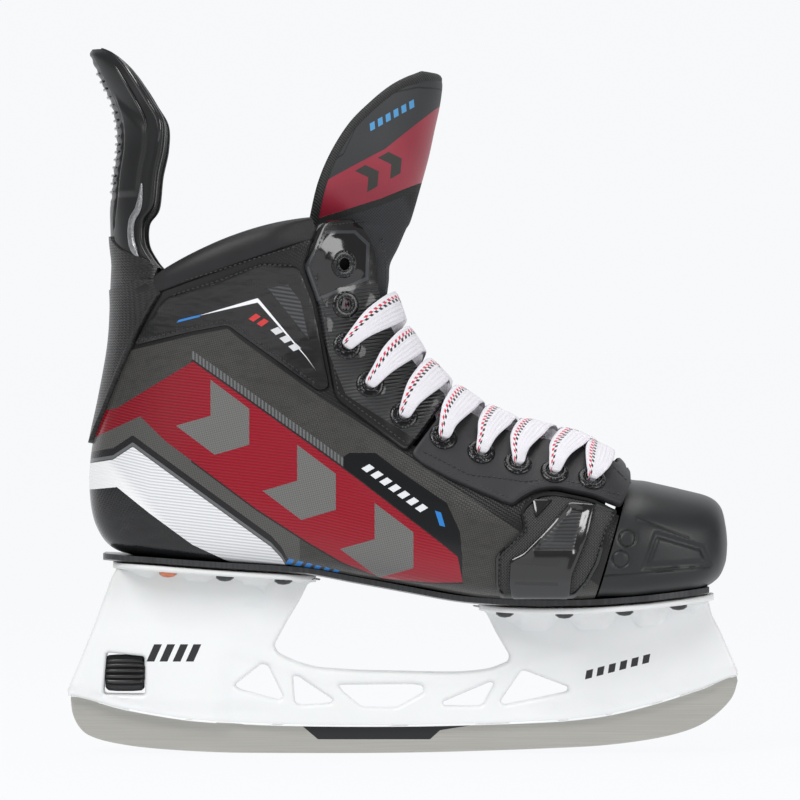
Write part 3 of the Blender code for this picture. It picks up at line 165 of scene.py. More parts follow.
# The toe cap's two moulded rings, and its creases with their depths
CAP_RINGS = ((96.8, 95.5), (93.9, 86.5))
CAP_RING_RADIUS = 3.5
CAP_CREASES = (((85.6, 79.1), (133.1, 82.6), 0.5), ((101.4, 104.1), (123.9, 95.3), 0.35))
RIVETS = {"heel": ((-102.7, 20.5), (-77.9, 20.5), (-52.4, 19.5)),
          "toe": ((44.2, 23.0), (70.0, 27.5), (96.2, 27.0), (119.9, 21.0))}


# ---------------------------------------------------------------- curves and grids
def unit(vectors):
    """Vectors scaled to a length of 1."""
    return vectors / np.maximum(np.linalg.norm(vectors, axis=-1, keepdims=True), 1e-9)


def run_along(points):
    """Distance travelled along a path at each of its points."""
    return np.concatenate([[0], np.cumsum(np.linalg.norm(np.diff(points, axis=0), axis=1))])


def through(table, t):
    """Points on a smooth curve through the rows of a table, at row numbers t."""
    table = np.asarray(table, float)
    t = np.clip(np.asarray(t, float), 0, len(table) - 1)
    i = np.minimum(t.astype(int), len(table) - 2)
    f = (t - i).reshape(t.shape + (1,) * (table.ndim - 1))
    before, after = np.maximum(i - 1, 0), np.minimum(i + 2, len(table) - 1)
    p, q, r, s = table[before], table[i], table[i + 1], table[after]
    return q + 0.5 * f * (r - p + f * (2 * p - 5 * q + 4 * r - s + f * (3 * (q - r) + s - p)))


def finer(grid, rows, columns):
    """A grid with more rows and columns on the same smooth surface."""
    grid = through(grid, np.linspace(0, len(grid) - 1, rows))
    grid = through(grid.swapaxes(0, 1), np.linspace(0, grid.shape[1] - 1, columns))
    return grid.swapaxes(0, 1)


def height_at(line, x):
    """Height of an (x, z) line at x, smoothed between its points."""
    rows = np.interp(x, line[:, 0], np.arange(len(line)))
    return through(line[:, 1:], rows)[..., 0]


def form(t, angle):
    """Points of the boot's outer form.  The angle is 0 at the sole or heel and pi at the front."""
    row = through(SECTIONS, t)
    turn = np.abs(angle)
    low = turn <= math.pi / 2
    half, share, shift = row[..., 4], row[..., 7], row[..., 8]
    a = np.clip(np.where(low, turn, math.pi - turn), 1e-9, math.pi / 2)
    power = 2 / np.where(low, row[..., 5], row[..., 6])
    wide = half * np.sin(a) ** power
    along = np.cos(a) ** power
    s = np.where(low, share * (1 - along), share + (1 - share) * along)
    x = row[..., 0] + s * (row[..., 2] - row[..., 0])
    z = row[..., 1] + s * (row[..., 3] - row[..., 1])
    return np.stack([x, shift + np.sign(angle) * wide, z], axis=-1)


def throat_angle(t, half=THROAT_HALF):
    """The angle at which the form is that far from its middle plane, on its front half."""
    row = through(SECTIONS, t)
    share = np.clip(half / row[..., 4], 0, 0.999)
    return math.pi - np.arcsin(share ** (row[..., 6] / 2))


def ring(t, first, last, count):
    """Points evenly spaced along one section of the form, between two angles."""
    fine = np.linspace(first, last, RING_SAMPLES)
    points = form(np.full(fine.shape, t), fine)
    run = run_along(points)
    angles = np.interp(np.linspace(0, run[-1], count), run, fine)
    return form(np.full(angles.shape, t), angles)


def inward_of(grid, closed=False):
    """Unit normals of a grid of points, pointing into the boot."""
    along = np.gradient(grid, axis=0)
    if closed:
        across = np.roll(grid, -1, axis=1) - np.roll(grid, 1, axis=1)
    else:
        across = np.gradient(grid, axis=1)
    return unit(np.cross(across, along))


def smooth_step(low, high, value):
    """0 below low, 1 above high, and smooth between them."""
    share = np.clip((np.asarray(value, float) - low) / (high - low), 0, 1)
    return share * share * (3 - 2 * share)


def form_tree():
    """The whole form as a tree for rays."""
    t, a = np.meshgrid(np.linspace(0, TOP_END, 420), np.linspace(-math.pi, math.pi, 620), indexing="ij")
    grid = form(t, a)
    grid = np.concatenate([grid, grid[-1:] + np.array([0, 0, 8.0])])
    return BVHTree.FromPolygons([tuple(p) for p in grid.reshape(-1, 3)], quads(*grid.shape[:2], False))


def seen_from_side(x, z, side):
    """Where a side view's point lies on the form, and its outward normal.  side is -1 for the outer side."""
    spot, normal, _, _ = TREE.ray_cast(Vector((x, side * 300.0, z)), Vector((0, -side, 0)))
    if spot is None:
        spot, normal, _, _ = TREE.find_nearest(Vector((x, side * 30.0, z)))
    return spot, normal if normal.y * side > 0 else -normal


def nearest_on_form(spot):
    """The section number and angle of the form's point nearest to a spot."""
    t, a = np.meshgrid(np.linspace(4, TOP_END, 290), np.linspace(-math.pi, 0, 240), indexing="ij")
    best = np.argmin(np.sum((form(t, a) - np.array(spot)) ** 2, axis=-1))
    return t.flat[best], abs(a.flat[best])


def angle_along(t, start, distance):
    """The angle reached by going that far round a section from one angle towards the sole."""
    fine = np.linspace(start, 0.3, 200)
    points = form(np.full(fine.shape, t), -fine)
    run = run_along(points)
    return float(np.interp(distance, run, fine))


def front_frame(t, turn):
    """A point on the form's front and its outward normal.  turn is the angle from the middle plane."""
    def at(section, part):
        return form(np.array(section), np.array(math.copysign(math.pi - abs(part), part)))

    here = at(t, turn)
    step = 0.012 if turn >= 0 else -0.012
    normal = unit(np.cross(at(t + 0.05, turn) - at(t - 0.05, turn), at(t, turn + step) - here))
    outwards = here - form(np.array(t), np.array(0.0))
    return here, normal if np.dot(normal, outwards) > 0 else -normal


def shell_edge(t):
    """The angle of the shell's free edge, which stops short of the eyelets."""
    start = float(np.interp(t, RAIL[::-1, 0], RAIL[::-1, 1]))
    return angle_along(t, start, EDGE_FROM_EYELET)


# ---------------------------------------------------------------- meshes
def quads(n, m, closed):
    """Quads of an n by m grid of point numbers, wrapped round if closed."""
    wrap = m if closed else m - 1
    return [(i * m + j, (i + 1) * m + j, (i + 1) * m + (j + 1) % m, i * m + (j + 1) % m)
            for i in range(n - 1) for j in range(wrap)]


def capped(n, m):
    """Faces of a tube of n rings of m points, with both ends filled."""
    last = (n - 1) * m
    return quads(n, m, True) + [tuple(range(m)), tuple(range(last + m - 1, last - 1, -1))]


def store(mesh, name, vectors):
    """Keeps one vector for each point of a mesh, under a name."""
    held = mesh.attributes.new(name, "FLOAT_VECTOR", "POINT")
    held.data.foreach_set("vector", np.asarray(vectors, np.float32).ravel())


def placed(name, mesh, body, instead):
    """Links a mesh, and says what it rides on and stands for.  A piece that bends keeps its place at rest."""
    obj = bpy.data.objects.new(name, mesh)
    bpy.context.scene.collection.objects.link(obj)
    if body:
        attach(obj, body)
    else:
        store(mesh, "rest", [v.co for v in mesh.vertices])
    if instead:
        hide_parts(*instead)
    return obj


def piece(name, verts, faces, finish, body="boot", smooth=40.0, uv=None, instead=(), slot=None):
    """A closed mesh from points in millimetres that rides on a body and stands for some frame nodes."""
    mesh = bpy.data.meshes.new(name)
    mesh.from_pydata((MM * np.asarray(verts, float)).tolist(), [], [tuple(f) for f in faces])
    shape = bmesh.new()
    shape.from_mesh(mesh)
    if uv is not None:
        layer = shape.loops.layers.uv.new("UVMap")
        shape.verts.ensure_lookup_table()
        for face in shape.faces:
            for loop in face.loops:
                loop[layer].uv = uv[loop.vert.index]
    bmesh.ops.remove_doubles(shape, verts=shape.verts, dist=2e-7)
    bmesh.ops.recalc_face_normals(shape, faces=shape.faces)
    shape.to_mesh(mesh)
    shape.free()
    mesh.shade_smooth()
    mesh.set_sharp_from_angle(angle=math.radians(smooth))
    mesh.materials.append(finish)
    return placed(name, mesh, body, instead)


def shell_faces(n, m, closed=False, nose=False):
    """Faces that join two n by m grids, one after the other, into a closed solid."""
    far = n * m
    faces = quads(n, m, closed)
    faces += [tuple(far + k for k in reversed(f)) for f in quads(n, m, closed)]
    for i in (n - 1,) if nose else (0, n - 1):
        for j in range(m if closed else m - 1):
            a, b = i * m + j, i * m + (j + 1) % m
            faces.append((a, b, far + b, far + a))
    if nose:
        faces += [tuple(range(m)), tuple(range(far + m - 1, far - 1, -1))]
    if not closed:
        for j in (0, m - 1):
            for i in range(n - 1):
                a, b = i * m + j, (i + 1) * m + j
                faces.append((a, b, far + b, far + a))
    return faces


def thick_sheet(name, outer, inner, finish, closed=False, nose=False, back=None, **more):
    """A closed solid between two grids of points, its inner face in a finish of its own if one is given."""
    verts = np.concatenate([outer.reshape(-1, 3), inner.reshape(-1, 3)])
    obj = piece(name, verts, shell_faces(*outer.shape[:2], closed, nose), finish, **more)
    if back:
        obj.data.materials.append(back)
        count = len(quads(*outer.shape[:2], closed))
        for face in obj.data.polygons[count:2 * count]:
            face.material_index = 1
    return obj


def tube(path, radius, sides=10, flat=1.0, ups=None):
    """Points and faces of a round or flattened bead along a path."""
    path = np.asarray(path, float)
    tangent = unit(np.gradient(path, axis=0))
    ups = np.tile([0.0, 0.0, 1.0], (len(path), 1)) if ups is None else np.asarray(ups, float)
    across = unit(np.cross(tangent, ups))
    up = np.cross(across, tangent)
    turn = np.linspace(0, 2 * math.pi, sides, endpoint=False)
    radius = np.broadcast_to(radius, (len(path),))[:, None, None]
    grid = path[:, None] + radius * (np.cos(turn)[None, :, None] * across[:, None]
                                     + flat * np.sin(turn)[None, :, None] * up[:, None])
    return grid.reshape(-1, 3), capped(len(path), sides)


def joined(parts):
    """Several (points, faces) as one."""
    verts, faces, start = [], [], 0
    for points, some in parts:
        verts.append(np.asarray(points, float))
        faces += [tuple(start + k for k in f) for f in some]
        start += len(points)
    return np.concatenate(verts), faces


# ---------------------------------------------------------------- flat shapes with rounded rims
def rounded(loop, radius):
    """A closed loop with its corners rounded off."""
    loop = np.asarray(loop, float)
    out = []
    for before, corner, after in zip(np.roll(loop, 1, axis=0), loop, np.roll(loop, -1, axis=0)):
        a, b = before - corner, after - corner
        reach = min(radius, 0.45 * np.linalg.norm(a), 0.45 * np.linalg.norm(b))
        a, b = (corner + reach * v / np.linalg.norm(v) for v in (a, b))
        for s in np.linspace(0, 1, 5):
            out.append((1 - s) ** 2 * a + 2 * s * (1 - s) * corner + s * s * b)
    return np.array(out)


def circle(x, z, radius):
    """A closed loop round a point."""
    turn = np.linspace(0, 2 * math.pi, 20, endpoint=False)
    return np.stack([x + radius * np.cos(turn), z + radius * np.sin(turn)], axis=1)


def finer_loop(loop, spacing):
    """A closed loop with points no further apart than a spacing, its corners kept."""
    out = []
    for a, b in zip(loop, np.roll(loop, -1, axis=0)):
        n = max(1, math.ceil(np.linalg.norm(b - a) / spacing))
        out += [a + (b - a) * k / n for k in range(n)]
    return np.array(out)


def from_rim(points, loops):
    """How far points are from the nearest loop, and whether each is inside."""
    start = np.concatenate(loops)
    end = np.concatenate([np.roll(loop, -1, axis=0) for loop in loops])
    away, inside = [], []
    for part in np.array_split(points, max(1, len(points) // 1500)):
        rel, side = part[:, None] - start[None], (end - start)[None]
        share = np.clip(np.sum(rel * side, axis=2) / np.maximum(np.sum(side * side, axis=2), 1e-12), 0, 1)
        away.append(np.sqrt(np.min(np.sum((rel - share[..., None] * side) ** 2, axis=2), axis=1)))
        above = (start[None, :, 1] > part[:, None, 1]) != (end[None, :, 1] > part[:, None, 1])
        rise = np.where(above, end[None, :, 1] - start[None, :, 1], 1.0)
        cross = start[None, :, 0] + (part[:, None, 1] - start[None, :, 1]) * (end - start)[None, :, 0] / rise
        inside.append(np.sum(above & (part[:, None, 0] < cross), axis=1) % 2 == 1)
    return np.concatenate(away), np.concatenate(inside)


def flat_mesh(loops, step, rims=(0.35, 0.9, 1.7), spacing=1.3):
    """Triangles that fill a loop less its holes: points, faces, depth from the rim, and rim edges."""
    loops = [finer_loop(np.asarray(loop, float), spacing) for loop in loops]
    fixed = np.concatenate(loops)
    edges, start = [], 0
    for loop in loops:
        n = len(loop)
        edges += [(start + k, start + (k + 1) % n) for k in range(n)]
        start += n
    loose = []
    for loop in loops:
        along = np.roll(loop, -1, axis=0) - np.roll(loop, 1, axis=0)
        across = unit(np.stack([-along[:, 1], along[:, 0]], axis=1))
        for rim in rims:
            for sign in (-1, 1):
                spots = loop + sign * rim * across
                away, inside = from_rim(spots, loops)
                loose.append(spots[inside & (away > 0.9 * rim)])
    low, high = fixed.min(axis=0), fixed.max(axis=0)
    xs, zs = np.arange(low[0], high[0], step), np.arange(low[1], high[1], step)
    spots = np.stack(np.meshgrid(xs, zs), axis=-1).reshape(-1, 2)
    spots[:, 0] += np.where((np.round(spots[:, 1] / step).astype(int) % 2) == 0, 0.25 * step, -0.25 * step)
    away, inside = from_rim(spots, loops)
    loose.append(spots[inside & (away > max(rims) + 0.4 * step)])
    every = np.concatenate([fixed, *loose])
    filled = delaunay_2d_cdt([Vector(p) for p in every], edges, [], 0, 1e-4)
    points = np.array([tuple(v) for v in filled[0]])
    faces = np.array([f for f in filled[2] if len(f) == 3])
    _, inside = from_rim(points[faces].mean(axis=1), loops)
    faces = faces[inside]
    depth, _ = from_rim(points, loops)
    uses = {}
    for a, b, c in faces:
        for e in ((a, b), (b, c), (c, a)):
            uses.setdefault((min(e), max(e)), []).append(e)
    rim = [found[0] for found in uses.values() if len(found) == 1]
    return points, faces, depth, rim


def rim_drop(depth, radius):
    """How far a rounded rim falls away at a depth from the edge."""
    short = radius - np.minimum(depth, radius)
    return radius - np.sqrt(np.maximum(radius * radius - short * short, 0))


def solid_between(low, high, faces, rim):
    """Points and faces of a solid between two sets of points on one flat mesh."""
    n = len(low)
    made = [tuple(f) for f in faces] + [tuple(n + k for k in reversed(tuple(f))) for f in faces]
    made += [(b, a, n + a, n + b) for a, b in rim]
    return np.concatenate([low, high]), made


def laid(loops, side, low, high, round_by=0.8, step=2.4, relief=None, **more):
    """Points and faces of a sheet that lies on the boot's side, from its loops in the side view."""
    points, faces, depth, rim = flat_mesh(loops, step, **more)
    spots = [seen_from_side(x, z, side) for x, z in points]
    base = np.array([tuple(s) for s, _ in spots])
    normal = np.array([tuple(n) for _, n in spots])
    top = high - rim_drop(depth, round_by)
    if relief:
        top = top + relief(points[:, 0], points[:, 1], depth)
    return solid_between(base + normal * low, base + normal * top[:, None], faces, rim)


def stitch_path(line, gap, side, lift):
    """Evenly spaced spots along a side-view line: their places, outward directions and directions along."""
    line = np.asarray(line, float)
    run = run_along(line)
    spots = np.arange(gap / 2, run[-1], STITCH_STEP * gap)
    flat = np.stack([np.interp(spots, run, line[:, k]) for k in (0, 1)], axis=1)
    on = [seen_from_side(x, z, side) for x, z in flat]
    place = np.array([tuple(s + n * lift) for s, n in on])
    out = np.array([tuple(n) for _, n in on])
    length = run_along(place)
    even = np.arange(gap / 2, length[-1], gap)
    if len(even) < 2:
        return np.zeros((0, 3)), np.zeros((0, 3)), np.zeros((0, 3))
    place, out = (np.stack([np.interp(even, length, values) for values in rows.T], axis=1)
                  for rows in (place, out))
    return place, out, np.gradient(place, axis=0)


# ---------------------------------------------------------------- node trees
class Signal:
    """A node's socket that can stand in a sum."""

    def __init__(self, web, socket):
        self.web, self.socket = web, socket

    def step(self, operation, *values, first=None):
        """One Math node on this signal, with values after it or one before it."""
        order = (self, *values) if first is None else (first, self, *values)
        return self.web.node("ShaderNodeMath", {"operation": operation}, dict(enumerate(order)))

    def other(self, name):
        """Another output of the same node."""
        return Signal(self.web, self.socket.node.outputs[name])

    def __add__(self, value):
        return self.step("ADD", value)

    def __mul__(self, value):
        return self.step("MULTIPLY", value)

    def __sub__(self, value):
        return self.step("SUBTRACT", value)

    def __rsub__(self, value):
        return self.step("SUBTRACT", first=value)

    def __truediv__(self, value):
        return self.step("DIVIDE", value)

    def __lt__(self, value):
        return self.step("LESS_THAN", value)

    def __gt__(self, value):
        return self.step("GREATER_THAN", value)

    def __abs__(self):
        return self.step("ABSOLUTE")

    def __or__(self, value):
        return self.step("MAXIMUM", value)

    def __and__(self, value):
        return self.step("MINIMUM", value)

    __radd__, __rmul__ = __add__, __mul__


class Web:
    """A node tree being made."""

    def __init__(self, tree):
        self.tree = tree

    def node(self, kind, settings=None, sockets=None, output=0):
        """Adds a node: its settings first, then the values or links of its sockets."""
        made = self.tree.nodes.new(kind)
        for key, value in (settings or {}).items():
            if key == "stops":
                while len(made.color_ramp.elements) < len(value):
                    made.color_ramp.elements.new(0.5)
                for element, (spot, colour) in zip(made.color_ramp.elements, value):
                    element.position, element.color = spot, (*colour, 1.0)
            elif key == "points":
                curve = made.mapping.curves[0]
                while len(curve.points) < len(value):
                    curve.points.new(0.5, 0.5)
                for point, spot in zip(curve.points, value):
                    point.location, point.handle_type = spot, "VECTOR"
                made.mapping.update()
            else:
                setattr(made, key, value)
        for key, value in (sockets or {}).items():
            self.feed(made.inputs[key], value)
        return Signal(self, made.outputs[output]) if made.outputs else made

    def feed(self, socket, value):
        """Links a signal to a socket, or sets its value."""
        if isinstance(value, Signal):
            self.tree.links.new(value.socket, socket)
        elif socket.type == "RGBA":
            socket.default_value = (*value[:3], 1.0)
        else:
            socket.default_value = value


def tint(red, green, blue):
    """A linear colour from its display values, 0 to 255."""
    values = (c / 255 for c in (red, green, blue))
    return tuple(c / 12.92 if c <= 0.04045 else ((c + 0.055) / 1.055) ** 2.4 for c in values)


class Finish(Web):
    """A material being made.  Its patterns read x, y and z in millimetres, at rest on a piece that bends."""

    def __init__(self, name, bends=False):
        self.material = bpy.data.materials.new(name)
        self.material.use_nodes = True
        super().__init__(self.material.node_tree)
        self.shader = self.tree.nodes["Principled BSDF"]
        if bends:
            self.place = self.node("ShaderNodeAttribute", {"attribute_name": "rest"}, output="Vector")
        else:
            self.place = self.node("ShaderNodeTexCoord", output="Object")
        split = self.node("ShaderNodeSeparateXYZ", {}, {0: self.place})
        self.x, self.y, self.z = (1000 * split.other(axis) for axis in "XYZ")

    def noise(self, scale, detail=3.0, stretch=(1, 1, 1)):
        """Soft noise with that many lumps in a millimetre."""
        vector = self.node("ShaderNodeVectorMath", {"operation": "MULTIPLY"},
                           {0: self.place, 1: tuple(1000 * scale * s for s in stretch)})
        return self.node("ShaderNodeTexNoise", {}, {"Vector": vector, "Scale": 1.0, "Detail": detail})

    def cells(self, scale):
        """Distance to the nearest of many scattered dots."""
        return self.node("ShaderNodeTexVoronoi", {}, {"Vector": self.place, "Scale": 1000 * scale})

    def mix(self, share, a, b):
        """One colour, or another where the share is 1."""
        return self.node("ShaderNodeMix", {"data_type": "RGBA"}, {0: share, 6: a, 7: b}, 2)

    def blend(self, share, a, b):
        """One number, or another where the share is 1."""
        return self.node("ShaderNodeMix", {"data_type": "FLOAT"}, {0: share, 2: a, 3: b}, 0)

    def line(self, points):
        """Height of a line of (x, z) points at x."""
        xs, zs = [p[0] for p in points], [p[1] for p in points]
        low, high, floor, top = min(xs), max(xs), min(zs) - 1, max(zs) + 1
        spots = [((x - low) / (high - low), (z - floor) / (top - floor)) for x, z in sorted(points)]
        share = (self.x - low) / (high - low)
        found = self.node("ShaderNodeFloatCurve", {"points": spots}, {"Value": share})
        return found * (top - floor) + floor

    def soft(self, value, low, high):
        """0 where a value is under low, 1 over high, smooth between."""
        return self.node("ShaderNodeMapRange", {"interpolation_type": "SMOOTHSTEP"},
                         {"Value": value, "From Min": low, "From Max": high})

    def ribs(self, value, pitch):
        """Rounded ribs across a value, from 0 to 1."""
        return (value * (2 * math.pi / pitch)).step("SINE") * 0.5 + 0.5

    def weave(self, a, b, pitch):
        """A plain weave of threads that run along two values."""
        one = (a * (math.pi / pitch)).step("SINE")
        two = (b * (math.pi / pitch)).step("SINE")
        return self.blend(one * two > 0, abs(one), abs(two))

    def ticks(self, start, end, count, height, slant=0.45):
        """A row of slanting bars from one (x, z) point to another."""
        (x0, z0), (x1, z1) = start, end
        length = math.hypot(x1 - x0, z1 - z0)
        ux, uz = (x1 - x0) / length, (z1 - z0) / length
        along = (self.x - x0) * ux + (self.z - z0) * uz
        across = (self.z - z0) * ux - (self.x - x0) * uz
        lean = (along - across * slant) / (length / count)
        bar = (lean - lean.step("FLOOR")) < BAR_SHARE
        return bar * (lean > 0.0) * (lean < count) * (abs(across) < height / 2)

    def inside(self, loop):
        """1 inside a convex loop of (x, z) points, which runs anticlockwise."""
        mask = 1.0
        for (x0, z0), (x1, z1) in zip(loop, loop[1:] + loop[:1]):
            mask = ((self.x - x0) * (z0 - z1) + (self.z - z0) * (x1 - x0) > 0) * mask
        return mask

    def either(self, masks):
        """The largest of some masks."""
        return functools.reduce(Signal.__or__, masks)

    def chevrons(self, u, v, middles, length, slope, half_width, half_height):
        """Plain chevrons that point along u, one at each middle."""
        return self.either([(abs(u - middle + abs(v) * slope - length) < half_width) * (abs(v) < half_height)
                            for middle in middles])

    def done(self, colour, rough, height=None, lift=0.1, coat=0.0, coat_rough=0.1, **fixed):
        """Feeds the shader.  height is in shares of lift, in millimetres."""
        self.feed(self.shader.inputs["Base Color"], colour)
        self.feed(self.shader.inputs["Roughness"], rough)
        self.feed(self.shader.inputs["Coat Weight"], coat)
        self.feed(self.shader.inputs["Coat Roughness"], coat_rough)
        for name, value in fixed.items():
            self.feed(self.shader.inputs[name.replace("_", " ")], value)
        if height is not None:
            bump = self.node("ShaderNodeBump", {}, {"Strength": 1.0, "Distance": MM * lift, "Height": height})
            self.feed(self.shader.inputs["Normal"], bump)
        return self.material


# ---------------------------------------------------------------- finishes
def leather_grain(web, scale=1.4):
    """Fine leather grain, as a height."""
    return web.cells(scale) * 0.6 + web.noise(0.6, 4.0) * 0.5


def matt_leather():
    """Matt black leather with fine grain."""
    web = Finish("matt_black_leather")
    worn = web.noise(0.05, 2.0)
    colour = web.mix(worn, tint(34, 34, 36), tint(46, 46, 48))
    return web.done(colour, web.blend(worn, 0.46, 0.58), leather_grain(web), 0.05, Specular_IOR_Level=0.35)


def gloss_leather():
    """Patent leather, ribbed under the eyelets and plain round the upper two."""
    web = Finish("patent_leather")
    hexagon = web.inside([(-37.6, 197.9), (-15.2, 207.5), (-14.7, 223.4), (-20.9, 229.1), (-34.1, 228.7),
                          (-42.9, 213.3)])
    inner = web.inside([(-36.4, 199.9), (-16.6, 208.6), (-16.2, 222.7), (-21.5, 227.7), (-33.3, 227.3),
                        (-41.2, 213.4)])
    left = web.line([(-60, 250), (-42, 199), (-34, 176), (-25, 154), (-19, 150), (8, 133)])
    top = web.line([(-60, 190), (-37.6, 196.5), (-15.2, 206), (-8, 206), (20, 190)])
    right = web.line([(-12, 205), (-11, 180), (-6, 172), (8, 158), (20, 146)])
    ribbed = (web.z > left + 3.5) * (web.z < top) * (web.z < right + 26)
    ribs = web.ribs(web.z * 0.97 - web.x * 0.12, 1.5) * ribbed
    colour = web.mix(ribs * 0.7, tint(14, 14, 15), tint(44, 45, 47))
    colour = web.mix(hexagon * (1 - inner), colour, tint(52, 53, 56))
    colour = web.mix(inner, colour, tint(9, 9, 11))
    rough = web.blend(ribbed, web.blend(inner, 0.24, 0.1), 0.36)
    height = ribs * 2.2 + hexagon * 1.0 - inner * 1.6 + leather_grain(web) * 0.12 * (1 - inner)
    return web.done(colour, rough, height, 0.16, coat=0.5, coat_rough=0.08)


def wrap_leather():
    """Gloss ankle wrap with a white stripe, a blue dash and a ribbed corner."""
    web = Finish("gloss_wrap_leather")
    stripe_low = web.line([(-88, 191.8), (-63.1, 197.4), (-42.0, 173.4), (-38, 168)])
    width = web.line([(-90, 0.0), (-74, 1.1), (-62, 2.0), (-41, 0.4), (-38, 0.0)])
    stripe = (web.z > stripe_low) * (web.z < stripe_low + width)
    dash = web.inside([(-98.3, 188.7), (-88.3, 191.2), (-87.3, 192.3), (-97.4, 189.9)])
    corner = web.inside([(-58.7, 203.6), (-41.1, 181.6), (-44.6, 198.0), (-50.0, 205.2)])
    ribs = web.ribs(web.z + web.x * 0.15, 1.7)
    weave = web.weave(web.x + web.z, web.x - web.z, 1.1)
    colour = web.mix(weave * 0.25, tint(12, 12, 13), tint(34, 34, 36))
    colour = web.mix(corner * ribs, colour, tint(70, 71, 74))
    colour = web.mix(stripe, colour, tint(232, 233, 236))
    colour = web.mix(dash, colour, tint(44, 120, 190))
    colour = web.mix(web.ticks((-65.5, 191.5), (-58.5, 187.3), 2, 3.6), colour, tint(196, 44, 44))
    colour = web.mix(web.ticks((-56.0, 186.2), (-44.5, 175.6), 3, 3.2), colour, tint(206, 208, 210))
    height = weave * 0.3 + stripe * 1.5 + corner * ribs + web.noise(0.09, 2.0, (1, 1, 2)) * 9.0
    return web.done(colour, web.blend(corner, 0.2, 0.4), height, 0.1, coat=0.35, coat_rough=0.07,
                    Specular_IOR_Level=0.4)


